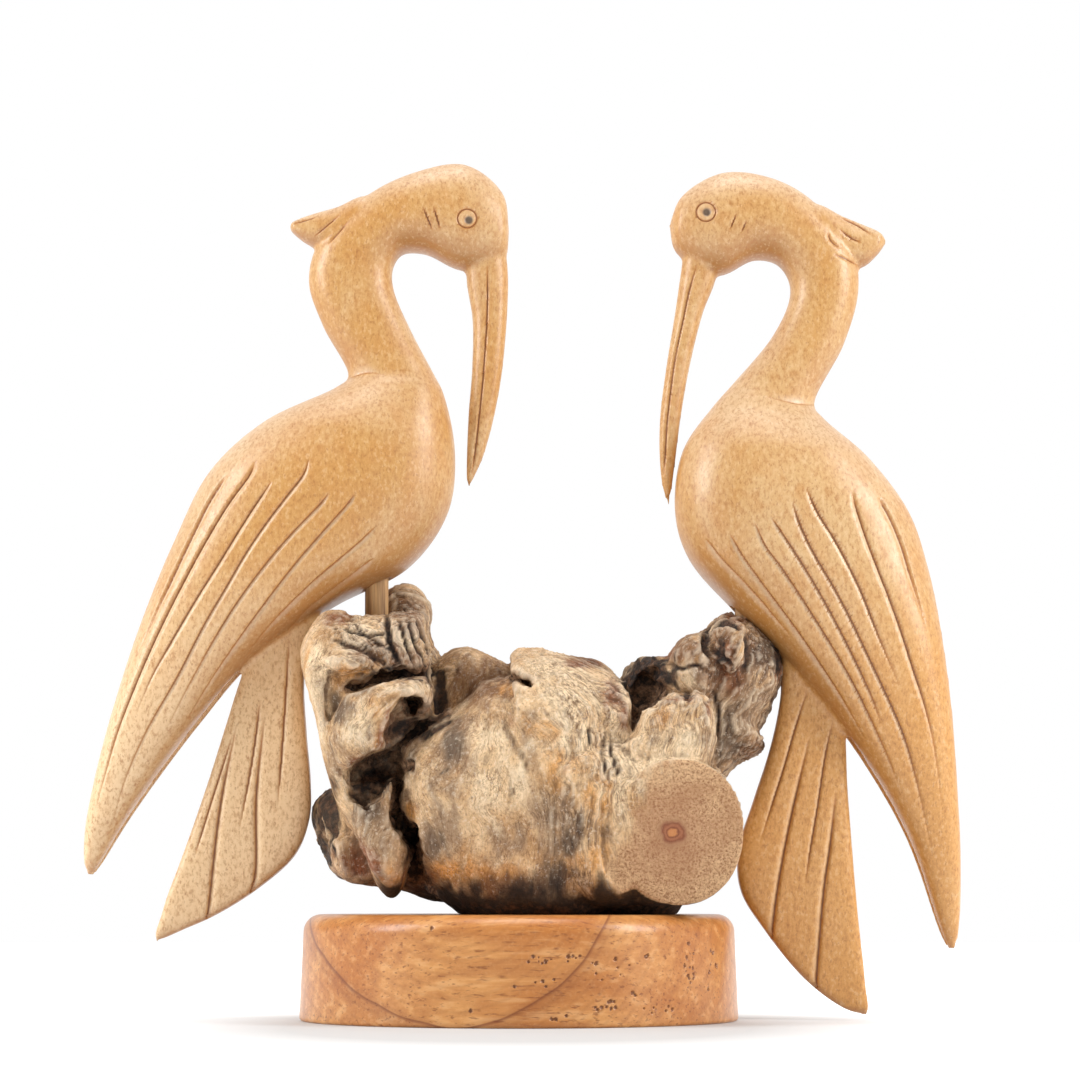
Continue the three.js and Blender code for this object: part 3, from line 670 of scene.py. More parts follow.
def stroke(gap, share, cut, steep_side):
    """How deep, how dark and how pale a cut is at each distance from its line and share of its
    length: depth · lead-in · run-out · (1 - distance / wall), and likewise for its shades."""
    far = np.abs(gap)
    taper = np.minimum(share / cut["lead"], 1) ** LEAD_POWER
    if cut["run"]:
        taper *= np.minimum((1 - share) / cut["run"], 1) ** RUN_POWER
    steep = gap * steep_side > 0
    wall = np.where(steep, cut["steep"], cut["gentle"]) * (END_WALL + (1 - END_WALL) * taper)
    deep = cut["depth"] * taper * np.maximum(1 - far / wall, 0)
    dark = cut["dark"] * taper * np.maximum(1 - far / (DARK_PART * cut["steep"]), 0)
    lit = np.where(steep, 0, smooth_step(far, *PALE_START))
    lit = lit * np.maximum(1 - far / (PALE_PART * wall), 0) ** 0.5
    return deep, dark, cut["pale"] * taper * lit


print("a wing cut half way:", stroke(np.zeros(1), np.full(1, 0.5), WING_CUT, 1)[0], "mm deep")

# %% The eyes

# The ring is a punched circle and the pupil a drilled dimple. Both stay above this height
HEAD_HEIGHT = 170
EYE_RADIUS = 2.25
EYE_WALL = 0.4
EYE_DEPTH = 0.4
EYE_REACH = 3.1
RING_DARK_PART = 0.8
IRIS_PALE = 0.15
IRIS_EDGE = (0.5, 0.2)
PUPIL_RADIUS = 0.95
PUPIL_DEPTH = 0.3
PUPIL_EDGE = 0.3
print("eye rings:", 2 * EYE_RADIUS, "mm across")


def eye_marks(spots, eye, on_head, depth, dark):
    """The depth and darkness with the eye's ring and pupil added, and where its iris and pupil
    are: the ring is 1 - |distance - radius| / wall, and the pupil falls off at its edge."""
    from_eye = np.linalg.norm(spots - eye["at"], axis=1)
    ring = np.abs(from_eye - EYE_RADIUS)
    depth = np.maximum(depth, EYE_DEPTH * np.maximum(1 - ring / EYE_WALL, 0) * on_head)
    dark = np.maximum(dark, np.maximum(1 - ring / (RING_DARK_PART * EYE_WALL), 0) * on_head)
    from_pupil = np.linalg.norm(spots - eye["pupil"], axis=1)
    pupil = 1 - smooth_step(from_pupil, PUPIL_RADIUS - PUPIL_EDGE, PUPIL_RADIUS + PUPIL_EDGE)
    depth += PUPIL_DEPTH * pupil * on_head
    iris = 1 - smooth_step(from_eye, EYE_RADIUS - IRIS_EDGE[0], EYE_RADIUS - IRIS_EDGE[1])
    return depth, dark, iris * on_head, pupil * on_head

# %% All the cuts of a bird

# A cut fades out where the skin turns away from the tool, and its pale wall, a painted
# highlight, on the underside
FACING = (0.05, 0.35)
UNLIT = (0.1, 0.7)
UNLIT_SHARE = 0.8
# Down its wings and tail one bird is painted paler, a painted sheen, and the other turns to
# amber
LEFT_BIRD["tint"] = "bleached"
RIGHT_BIRD["tint"] = "amber"
TINT_TOP = 115
TINT_FULL = 60
# Between these facings skin that faces down is painted darker, a painted shade, and skin that faces up
# is painted paler, a painted highlight
UNDER_FACING = (0.0, 0.9)
UPPER_FACING = (0.1, 0.8)


def cut_lines(points, tris, bird):
    """Each point's normal on the near half, how deep it is cut, and how dark, pale and pupil
    it is: the deepest of all the lines that reach it, and the eye."""
    near = fold(points)
    normal = normals_of(points, tris)
    normal[:, 1] *= np.where(points[:, 1] > 0, -1, 1)
    spots = seen(near)
    sight = VIEW_FROM - near
    sight /= np.linalg.norm(sight, axis=1, keepdims=True)
    facing = smooth_step((normal * sight).sum(1), *FACING)
    depth, dark, pale = marks = np.zeros((3, len(points)))
    for line, cut, part in strokes_of(bird):
        reach = max(cut["steep"], cut["gentle"])
        chosen, _, gap, share = near_stroke(near, spots, line, part, bird["fan"], reach)
        for mark, amount in zip(marks, stroke(gap, share, cut, bird["steep_side"])):
            mark[chosen] = np.maximum(mark[chosen], amount)
    on_head = (points[:, 2] > HEAD_HEIGHT) * facing
    depth, dark, iris, pupil = eye_marks(spots, bird["eye"], on_head, depth, dark)
    pale *= 1 - UNLIT_SHARE * smooth_step(-normal[:, 2], *UNLIT)
    pale = np.maximum(pale * facing, IRIS_PALE * iris)
    return normal, depth * facing, dark * facing, pale, pupil


def carve(points, tris, bird):
    """Halves the triangles where lines and eyes are cut, then sinks the cuts."""
    strokes = strokes_of(bird)
    near = fold(points)
    spots = seen(near)
    close = np.zeros(len(points), bool)
    for line, _, part in strokes:
        close[near_stroke(near, spots, line, part, bird["fan"], CUT_REACH)[0]] = True
    points, tris = halve(points, tris, close)
    for _ in range(2):
        from_eye = np.linalg.norm(seen(fold(points)) - bird["eye"]["at"], axis=1)
        on_eye = (from_eye < EYE_REACH) & (points[:, 2] > HEAD_HEIGHT)
        points, tris = halve(points, tris, on_eye)
    points = line_up(points, tris, strokes, bird["fan"])
    normal, depth, dark, pale, pupil = cut_lines(points, tris, bird)
    normal[:, 1] *= np.where(points[:, 1] > 0, -1, 1)
    # The dark bottoms are partly painted shade, the pale walls a painted highlight
    masks = {"cut": dark, "wall": pale, "pupil": pupil}
    # under is a painted shade on down-facing skin, upper a painted highlight on up-facing skin
    masks["under"] = smooth_step(-normal[:, 2], *UNDER_FACING)
    masks["upper"] = smooth_step(normal[:, 2], *UPPER_FACING)
    masks[bird["tint"]] = smooth_step(TINT_TOP - points[:, 2], 0, TINT_TOP - TINT_FULL)
    return points - depth[:, None] * normal, tris, masks

# %% The two cranes


def masked_object(name, points, tris, masks):
    """An object whose points keep one number for each mask, for the material to read."""
    made = mesh_object(name, points, tris)
    for mask_name, values in masks.items():
        mask = made.data.attributes.new(mask_name, "FLOAT", "POINT")
        mask.data.foreach_set("value", values.astype(np.float32))
    print(name, len(tris), "triangles", *masks)
    return made


left_crane = masked_object(
    "carved_left_crane", *carve(*bird_blank(LEFT_BIRD, LEFT_PEG), LEFT_BIRD))
right_crane = masked_object(
    "carved_right_crane", *carve(*bird_blank(RIGHT_BIRD, RIGHT_PEG), RIGHT_BIRD))
for made, node in ((left_crane, "left_crane"), (right_crane, "right_crane")):
    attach(made, "root")
    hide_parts(node)

# %% [markdown]
# ## The root: forms
# The real root is a burl that has been in the weather: swollen lobes, torn rims, rotted
# hollows and a branch that was sawn off square. Each lobe is its outline drawn in towards a
# centre as it nears the front and the back. Sculpting by hand would look as good, but it
# can't be read or changed as numbers can.

# %% Noise

NOISE_PRIMES = (73856093, 19349663, 83492791)


def lattice(cells, seed):
    """A number from -1 to 1 for each whole-number cell, always the same for the same seed."""
    mixed = np.full(len(cells), seed * 2654435761 % 4294967296, np.int64)
    for k, prime in enumerate(NOISE_PRIMES):
        mixed ^= cells[:, k].astype(np.int64) * prime
        mixed = (mixed ^ (mixed >> 15)) * 2246822519 % 4294967296
    mixed ^= mixed >> 13
    return (mixed % 65536) / 32767.5 - 1


def noise(points, size, seed, octaves=1):
    """Lattice numbers blended between the eight corners of each cell of that size. Each
    further octave is half the size and half the height."""
    total = np.zeros(len(points))
    for octave in range(octaves):
        scaled = points / size * 2 ** octave
        cell = np.floor(scaled).astype(np.int64)
        w = scaled - cell
        w = w * w * (3 - 2 * w)
        for corner in np.ndindex(2, 2, 2):
            share = np.prod(np.where(corner, w, 1 - w), axis=1)
            total += share * lattice(cell + corner, seed + octave) / 2 ** octave
    return total


print("noise at three places:", noise(np.arange(9.0).reshape(3, 3), 2.5, 1))

# %% The root's forms, front to back

# The great lobe and the tongue reach a little past their edges, and the gaps cut them back
ROOT_FORMS = {
    "great lobe": dict(outline=table("""
    -1.7 82.8, 0.8 84.3, 6 83.8, 14 81.6, 20 77, 25 66, 26.5 48, 26 32, 18 18, 0 17.5, -10.5 22,
    -21 30.5, -26 38, -29.5 50, -29.5 60, -24 66.5, -15.5 70.6, -11 74, -8.6 76.6, -3 77.8, -0.8 79"""),
        centre=(1, 50), front=-35, back=30, fullness=0.42, ragged=0.35),
    "right lobe": dict(outline=table("""
    10 82, 19 79.6, 25 76, 31 71, 42 66, 44.5 54, 42 38, 35 23, 22 18, 10 28, 6 60"""),
        centre=(27, 48), front=-30, back=27, fullness=0.42),
    "shoulder": dict(outline=table("8 60, 18 63, 27 61, 33 54, 34 40, 29 28, 18 25, 9 31, 5 46"),
        centre=(20, 45), front=-37, back=-8, fullness=0.36),
    "flank": dict(outline=table("""
    -29.4 28.6, -35.2 38, -39.4 46, -41.9 53, -43.9 60, -45.7 68, -47.9 75, -49.6 81, -48.9 86.2,
    -46.5 90.2, -43.4 92.4, -39.4 92, -42 86, -43.6 78, -43 68, -41 58, -38 50, -33.6 42"""),
        centre=(-43.4, 66), front=-26, back=6, fullness=0.5),
    "left block": dict(outline=table("""
    -20.9 82, -22 92.2, -25.6 93, -30 92.2, -32.4 91.6, -38.6 91.2, -44.5 91, -48.6 86, -48.4 77,
    -45.6 66, -42.8 54, -37.6 42.5, -28 40, -22 60, -19.6 73"""),
        centre=(-33, 72), front=-24.5, back=15, fullness=0.3),
    "ledge": dict(outline=table("""
    -43.6 80.8, -38 81.4, -33 81, -32.4 79.4, -35 78, -39.4 77.2, -43.2 78.4"""),
        centre=(-38, 79.4), front=-31, back=-14, fullness=0.25, ragged=0.5),
    "splinter": dict(outline=table("-42.3 83.6, -39 83, -36 81.9, -37 81.3, -42.3 82.4"),
        centre=(-39.5, 82.4), front=-26.5, back=-18, fullness=0.3),
    "bump": dict(outline=table("""
    -40.6 70, -36.5 75.6, -30 77.6, -22 77.2, -19.4 73, -20.5 67, -26 60, -33 55, -40 55.5, -42.4 61"""),
        centre=(-32, 67), front=-33, back=-6, fullness=0.4, ragged=0.5),
    "tongue": dict(outline=table("""
    -33 57, -25 56, -24.6 45, -24.6 36, -26.2 29.6, -28.4 27.8, -31.4 30.6, -34.6 38, -37.6 46,
    -37 52"""), centre=(-30.5, 44), front=-30, back=-8, fullness=0.42),
    "stump": dict(outline=table("""
    -31 99.2, -26.8 100.8, -23.2 99.2, -21.1 95.2, -20.8 88, -16.4 76, -24 66, -34 70, -33 88"""),
        centre=(-26, 83), front=1, back=24, fullness=0.42, ragged=0.3),
    "low knobs": dict(outline=table("""
    -42.6 53.6, -46.6 50.8, -48 46.6, -46.2 41.6, -43.6 34.6, -40.6 32.2, -30 30.2, -14 27.4, -10 44,
    -20 60, -34 62"""), centre=(-30, 44), front=-10, back=27, fullness=0.4, ragged=0.35),
    "low knob's face": dict(outline=table("-42.2 41, -36 43, -30 40, -31 31.4, -39 31.8, -41.6 35"),
        centre=(-36.5, 36.5), front=-14, back=4, fullness=0.3),
    "smooth knob": dict(outline=table("""
    -22.6 76, -19.2 82.4, -13.4 85.8, -7.4 84.2, 0 79, 4 66, -8 56, -22 60"""),
        centre=(-9, 71), front=-5, back=24, fullness=0.5),
    "back ridge": dict(outline=table("8 82, 12 83.8, 17 82.8, 21.5 79.5, 20 70, 8 70"),
        centre=(14, 75), front=2, back=18, fullness=0.45, ragged=0.3),
    "arm": dict(outline=table("""
    40 50, 47 55, 50 58.2, 54.5 60.4, 56.3 62.6, 55 65.4, 56.8 69, 58.6 72.6, 60.6 78, 60.6 83,
    58.8 87.6, 54 91.4, 48 93, 43 89.8, 35.5 84, 27 82.2, 23.5 76, 28 60"""),
        centre=(44, 74), front=-15, back=24, fullness=0.42, ragged=0.45),
    "arm bump": dict(outline=table("""
    34 79, 34.8 83.6, 38.4 87, 42 87.2, 45 83.5, 45.5 78, 43 73, 37 71.5, 34 74"""),
        centre=(39.5, 79.5), front=-20, back=4, fullness=0.5, ragged=0.4),
    "arm knob": dict(outline=table("""
    43.4 84, 43.6 88, 46.2 90.6, 49.8 90.2, 52.2 87, 51.8 81.4, 48.5 77.6, 45 79.5"""),
        centre=(48, 84.4), front=-21, back=-4, fullness=0.55, ragged=0.3),
    "lip": dict(outline=table("""
    22 60, 25.6 64, 28.4 68.8, 31 70.8, 34.6 73, 38 72.4, 39.8 73.4, 42 71.6, 43.4 68.4, 43.6 62,
    41 54, 34 50, 25 52"""), centre=(34, 62), front=-35.5, back=-12, fullness=0.36, ragged=0.35),
}
# Gaps as they are seen from the front, each with the depths between which it draws in to
# its floor and how black it is
ROOT_GAPS = {
    "torn hollow": dict(outline=table("""
    -39.4 54.6, -38 57.2, -35.6 58.8, -33 60.2, -31.2 62.4, -31.5 65, -30.2 68, -29.6 70.6, -28 72.8,
    -23 73.2, -20.6 72, -18.4 70.6, -16 69.4, -20 66.6, -24.6 63.9, -26.6 61, -26 58, -26.6 55.4,
    -28.5 54.9, -30.6 53, -32.4 50, -36 48.6, -39 50.6"""), rim=-26, floor=-20, ragged=0.6, dark=0.55),
    "trench": dict(outline=table("""
    -17 70.6, -20.5 69.8, -24.5 67.6, -27.6 64, -31 62, -35 60.4, -39.4 56.6, -38.6 53.6, -34.8 54.2,
    -31 54.6, -28.4 54.6, -26.2 55.4, -25.8 58, -26.5 61, -24.5 63.8, -20 66.5"""),
        rim=-21, floor=-11, ragged=0.6, dark=0.62),
    "cavity": dict(outline=table("""
    -28.2 73.9, -27 71.6, -25.8 70, -23.4 69.8, -22.2 71.2, -21.8 73.6, -23.6 74.4, -26 74.2"""),
        rim=-26, floor=-12, ragged=0.35, dark=1),
    "crevice": dict(outline=table("""
    -33 79.6, -28.6 80.6, -24 80.8, -20 81.6, -17.6 80, -17.3 74, -16.2 69.4, -19.4 69.2, -20.1 76,
    -22 77.6, -25 77.8, -28.5 77.5, -31.5 76.9, -34.6 75.8, -39 74.6, -40.8 76.2, -38.6 77.6,
    -35.4 78.4"""), rim=-25, floor=-13, ragged=0.6, dark=0.8),
    "low gap": dict(outline=table("""
    -28.6 55.5, -26.4 54.6, -26.8 52, -26.6 48.6, -24.7 45.1, -23 44.6, -22.4 41.5, -21.5 37,
    -20.4 32, -19 27.6, -25 26.6, -25.3 33, -25 37.5, -27.3 41, -29.8 44.4, -29.4 49"""),
        rim=-26, floor=-8, ragged=0.5, dark=0.9),
    "rotten hole": dict(outline=table("""
    24.4 78, 25.8 81.2, 29 82.2, 32.4 81.6, 33.8 79.2, 34.2 74.6, 33 71.8, 30.4 70.4, 28.2 68.4,
    26.9 66, 26 62.6, 25.2 65.6, 24.8 69, 25.2 73"""), rim=-22, floor=-5, ragged=0.6, dark=0.8),
    "top crack": dict(outline=table("""
    -1.6 78.9, -0.4 79.3, 0.8 78.6, 2.4 78.2, 3.3 77, 4.1 75.2, 2.8 74.9, 2 75.9, 0.6 76, -0.4 77.2,
    -1.8 77.4"""), rim=-30, floor=-17, ragged=0.45, dark=0.9),
    "knot hole": dict(outline=table("-35.3 62, -34.4 62.3, -33.8 61.6, -34.2 60.9, -35.1 61.1"),
        rim=-31, floor=-27, ragged=0.2, dark=0.8),
    "small hole": dict(outline=table("-25.6 59, -24.4 59, -24.2 57.4, -25 56.6, -25.8 57.6"),
        rim=-30, floor=-18, ragged=0.2, dark=1),
}
BRANCH = dict(start=(35, 0, 46), end=(35.5, -36, 41.9), half_width=13.8, half_height=16)
# The saw takes this much away beyond the sawn end, a little wider than the branch
SAW_CUT = dict(deep=14, wider=1.3)
# Below 1 the branch's section is squarer than an oval
BRANCH_SQUARE = 0.96
# How far behind the sawn end each ring of the branch lies, and how much further it
# spreads to the left there, where it runs into the lobe
BRANCH_RINGS = ((-36, 0.35), (-12, 0.75), (-4, 0.45), (0, 0))
BASE_HEIGHT = 24
ROOT_VOXEL = 0.69
ROOT_RELAX = 2
# Gaps are cut from in front of everything, and the foot is trimmed this far to all sides
GAP_FRONT = -50
TRIM_REACH = 100
# Torn edges: the size of their waves, and the seeds of the lobes' and the gaps' noise
TORN_SIZE = 1.7
LOBE_SEED = 5
GAP_SEED = 9
print("root forms:", len(ROOT_FORMS), "gaps:", len(ROOT_GAPS))

# %% Lobes


def torn(grid, centre, amount, seed):
    """Moves the points of a form out from its middle by lattice noise, as a torn edge runs."""
    out = grid[..., [0, 2]] - centre
    out /= np.maximum(np.linalg.norm(out, axis=-1, keepdims=True), 1e-6)
    wave = noise(grid.reshape(-1, 3), TORN_SIZE, seed, 2).reshape(grid.shape[:2])
    grid[..., [0, 2]] += amount * wave[..., None] * out
    return grid


def lobe(outline, centre, front, back, fullness, ragged=0.0, around=160, along=64):
    """An outline drawn in towards its centre as it nears the front and the back: the outline
    times sin(turn)^fullness, at y = front + depth (1 - cos(turn)) / 2."""
    edge = curve(outline, np.arange(around) / around, closed=True) - centre
    turn = np.linspace(0, np.pi, along + 1)
    size = np.maximum(np.sin(turn), 0)[:, None] ** fullness
    size[[0, -1]] = 0
    grid = np.empty((along + 1, around, 3))
    grid[..., 0] = centre[0] + size * edge[:, 0]
    grid[..., 1] = (front + (back - front) * (1 - np.cos(turn)) / 2)[:, None]
    grid[..., 2] = centre[1] + size * edge[:, 1]
    grid[1:-1] = torn(grid[1:-1], centre, ragged, LOBE_SEED)
    return skin(grid)


print("a lobe:", len(lobe(**ROOT_FORMS["splinter"])[0]), "points")

# %% Gaps, cut along the lines of sight


def at_depth(spots, y):
    """Where something at depth y lies that is seen at these places of the plane y = 0."""
    eye = VIEW_FROM[[0, 2]]
    return eye + (spots - eye) * (1 - y / VIEW_FROM[1])[..., None]


def gap_form(outline, rim, floor, ragged, dark, around=160, along=48):
    """A hollow along the lines of sight: its outline times sqrt(1 - s^2.5), where s is how
    far it has come from the rim's depth to the floor's."""
    edge = curve(outline, np.arange(around) / around, closed=True)
    centre = edge.mean(0)
    depth = np.concatenate([[GAP_FRONT], np.linspace(GAP_FRONT, floor, along)])
    s = np.clip((depth - rim) / (floor - rim), 0, 1)
    size = np.sqrt(1 - s ** 2.5)
    size[0] = 0
    spots = centre + size[:, None, None] * (edge - centre)
    grid = np.empty((along + 1, around, 3))
    grid[..., [0, 2]] = at_depth(spots, depth[:, None])
    grid[..., 1] = depth[:, None]
    grid[1:-1] = torn(grid[1:-1], centre, ragged, GAP_SEED)
    return skin(grid)


print("a gap:", len(gap_form(**ROOT_GAPS["small hole"])[0]), "points")

# %% The sawn branch


def branch_axes():
    """The middle of the sawn end and the unit ways forward, to the left and up from it."""
    start, end = np.array(BRANCH["start"], float), np.array(BRANCH["end"], float)
    way = (end - start) / np.linalg.norm(end - start)
    across = np.cross(way, (0, 0, 1))
    across /= np.linalg.norm(across)
    return end, way, across, np.cross(across, way)


def log(rings, wider=1.0, around=96):
    """A squarish oval log along the branch: at each ring the width on its left side is
    half_width (1 + spread), elsewhere half_width, and the height there grows by up to half
    of that share."""
    end, way, across, up = branch_axes()
    angle = round_angles(around)
    wide = wider * BRANCH["half_width"] * signed_power(np.cos(angle), BRANCH_SQUARE)
    high = wider * BRANCH["half_height"] * signed_power(np.sin(angle), BRANCH_SQUARE)
    rows = []
    for far, spread in rings:
        leftward = np.maximum(np.cos(angle), 0)
        broad = wide * np.where(wide > 0, 1 + spread, 1)
        tall = high * (1 + 0.5 * spread * leftward)
        rows.append(end + far * way + broad[:, None] * across + tall[:, None] * up)
    first = end + rings[0][0] * way + 0 * rows[0]
    last = end + rings[-1][0] * way + 0 * rows[0]
    return skin(np.stack([first] + rows + [last]))


print("the sawn end faces", branch_axes()[1].round(3))

# %% The root's block


def slab(low, high):
    """A plain block between two corners, to trim with."""
    x0, y0, z0 = low
    x1, y1, z1 = high
    ring = np.array([[x0, y0], [x1, y0], [x1, y1], [x0, y1]], float)
    grid = np.empty((4, 4, 3))
    grid[..., :2] = ring
    grid[[0, 3], :, 0] = (x0 + x1) / 2
    grid[[0, 3], :, 1] = (y0 + y1) / 2
    grid[:2, :, 2] = z0
    grid[2:, :, 2] = z1
    return skin(grid)


def root_block():
    """The forms and the branch joined, hollowed, trimmed at the foot and cut for the pegs."""
    first, *others = [lobe(**form) for form in ROOT_FORMS.values()]
    steps = [("UNION", form) for form in others + [log(BRANCH_RINGS)]]
    saw = log(((0, 0), (SAW_CUT["deep"], 0)), SAW_CUT["wider"])
    steps.append(("DIFFERENCE", saw))
    steps += [("DIFFERENCE", gap_form(**gap)) for gap in ROOT_GAPS.values()]
    trim = slab((-TRIM_REACH, -TRIM_REACH, 0), (TRIM_REACH, TRIM_REACH, BASE_HEIGHT))
    steps.append(("DIFFERENCE", trim))
    for peg in (LEFT_PEG, RIGHT_PEG):
        steps.append(("DIFFERENCE", stick(PEG_RADIUS + HOLE_GAP, **peg)))
    return fuse(first, steps, ROOT_VOXEL)


points, tris = root_block()
points = relax(points, edges_of(tris), ROOT_RELAX)
print("root", len(tris), "triangles")

# %% [markdown]
# ## The root: grain, cracks and stains
# Wood tears along its grain, so the relief follows it. A few guide lines say how the grain
# runs; each gives every point a distance across it and a length along it, and the guides are
# blended by how near they are. Lattice noise that is short across and long along then makes
# fibres. The same two numbers go to the material, which draws the finer ones.

# %% How the grain runs

# Guide lines as they are seen from the front, each upward, with the middle, half width and
# half height of the region it rules and how fibrous the wood is there
GRAIN_GUIDES = [
    ([(-30, 28), (-35.5, 42), (-42.5, 58), (-46.5, 76), (-43, 92)], (-45, 68), (6, 24), 0.2),
    ([(-22, 78), (-27.5, 94)], (-25.4, 87), (6, 7), 1.0),
    ([(-30, 79), (-42, 92)], (-37.6, 86), (5, 6), 1.0),
    ([(-34, 56), (-37.5, 64), (-36, 71), (-30, 78)], (-34, 67), (6, 7), 0.3),
    ([(-28.4, 27), (-31.5, 40), (-29, 56)], (-31, 42), (5, 11), 0.35),
    ([(-18.5, 28), (-22.8, 44), (-26.4, 57), (-19, 67.5), (-8.6, 76.6)], (-21, 54), (7, 18), 0.22),
    ([(-9, 28), (-9, 45), (-10, 58), (-2, 77)], (-9, 50), (7, 18), 0.15),
    ([(5, 28), (6, 46), (1.5, 60), (-3, 72), (-3, 84)], (1, 54), (6, 18), 0.2),
    ([(14, 28), (14.5, 50), (14, 63), (10, 74), (2.5, 85)], (13, 62), (7, 18), 0.75),
    ([(24, 28), (22.5, 50), (21, 64), (20.5, 80)], (22, 62), (5, 16), 0.6),
    ([(35, 50), (36, 64), (38, 76)], (36, 64), (7, 8), 0.5),
    ([(41.5, 70), (38, 80), (37.5, 90)], (39, 80), (4, 6), 0.6),
    ([(44.5, 54), (49, 66), (55.5, 77), (61.5, 92)], (53, 72), (8, 16), 1.0),
]
# Swirls in the grain: how far they push it, and their size
GRAIN_WARPS = ((1.6, 8), (0.9, 3.4), (0.35, 1.5))
GRAIN_SEED = 21
# The weight that a point has away from every guide
LEAST_WEIGHT = 1e-9


def grain_of(spots, depth, pieces=32):
    """How far each point lies across, along and into the grain: the guides' own distances,
    each counted from its region's middle, blended by exp(-(dx/half)^2 - (dz/half)^2)."""
    total = np.full(len(spots), LEAST_WEIGHT)
    across = LEAST_WEIGHT * spots[:, 0]
    along = LEAST_WEIGHT * spots[:, 1]
    fibrous = np.zeros(len(spots))
    for line, at, half, strong in GRAIN_GUIDES:
        path = curve(line, np.linspace(0, 1, pieces + 1))
        length = np.linalg.norm(np.diff(path, axis=0), axis=1).sum()
        _, gap, share = beside_line(spots, line, samples=pieces)
        _, home, start = beside_line(np.array([at], float), line, samples=pieces)
        weight = np.exp(-(((spots - at) / half) ** 2).sum(1))
        total += weight
        fibrous += weight * strong
        across += weight * (gap - home + at[0])
        along += weight * ((share - start) * length + at[1])
    grain = np.stack([across / total, along / total, depth], -1)
    for far, size in GRAIN_WARPS:
        for k in (0, 2):
            grain[:, k] += far * noise(grain, size, GRAIN_SEED + k)
    return grain, fibrous / total


print("grain guides:", len(GRAIN_GUIDES))

# %% Cracks

# Lines as they are seen; the last pair of each is how deep and how wide it is
ROOT_CRACKS = tables("""
    19.4 65, 19.3 60, 20.2 55.2, 0.9 0.55;
    20.8 63.6, 21.6 59.5, 23 55.2, 0.9 0.55;
    16 67, 16.3 62.4, 0.8 0.5;
    -3.8 69.6, -2.8 66, -0.6 62, 1.4 59, 1.8 55.6, 0.35 1.5;
    -43 87.4, -37 84.6, -31 81.6, 0.8 0.7;
    -41 89.8, -35 88.2, -31 88.8, 0.8 0.6;
    -39 91.4, -33.4 86.6, -28.6 84.4, 0.8 0.6;
    -30.8 93, -30 87, -27.6 80.8, 1.6 0.9;
    -28 92, -26.4 87, -24.2 80.8, 1 0.6;
    -25.9 92.6, -24.4 87, -22 81, 1 0.6;
    -23.6 92.2, -22.4 87, -20.8 82.6, 0.9 0.6;
    -36.6 86.4, -33.6 83.4, -30.4 80.8, 0.7 0.5;
    -20.4 81, -20.8 76.6, 1.2 0.9;
    44.4 82.6, 42.8 86.4, 44.2 89.8, 48 91.4, 51.6 89.6, 1.6 0.9;
    44.6 85, 46.8 82.8, 49.4 80.8, 1.2 0.8;
    52.6 89, 53 84, 51.6 79, 0.9 0.8;
    34.2 82, 37 80.4, 41 81.2, 43.6 79.6, 0.8 0.7;
    45.6 63, 46 70, 44.6 76, 0.8 0.7;
    -38.6 52, -36.4 50, -34 47, 0.8 0.7;
    -37 55, -34.4 52.6, -31.6 51.2, 0.8 0.7""")
# The bark's edge on the stump and the rolled rim of the lip stand up as thin ridges
ROOT_RIDGES = tables("""
    -30 97.2, -27 97.8, -23.8 97, -21 95, -20.2 91, 0.5 0.5;
    31 70.8, 34.6 72.8, 38 72.2, 40 73.2, 42.2 71.4, 43.6 67, 0.5 0.7;
    -1.8 78.6, -6.4 77.2, -9.4 75.2, -15 69.6, -20 66.2, -25.6 61.6, 0.35 0.8""")
# A crack's or ridge's two ends taper over this share of its length, to this power
TAPER_SHARE = 0.18
TAPER_POWER = 0.6


def lines_on(spots, lines, front):
    """Depth for each point from a set of lines: depth · lead-in and run-out · (1 - distance /
    width), the deepest of them."""
    depth = np.zeros(len(spots))
    for rows in lines:
        line, (deep, wide) = rows[:-1], rows[-1]
        low = np.min(line, axis=0) - wide
        high = np.max(line, axis=0) + wide
        chosen = np.flatnonzero(((spots > low) & (spots < high)).all(1) & front)
        _, gap, share = beside_line(spots[chosen], line, samples=24)
        taper = np.clip(np.minimum(share, 1 - share) / TAPER_SHARE, 0, 1) ** TAPER_POWER
        amount = deep * taper * np.maximum(1 - np.abs(gap) / wide, 0)
        depth[chosen] = np.maximum(depth[chosen], amount)
    return depth


print("cracks:", len(ROOT_CRACKS), "ridges:", len(ROOT_RIDGES))

# %% Stains

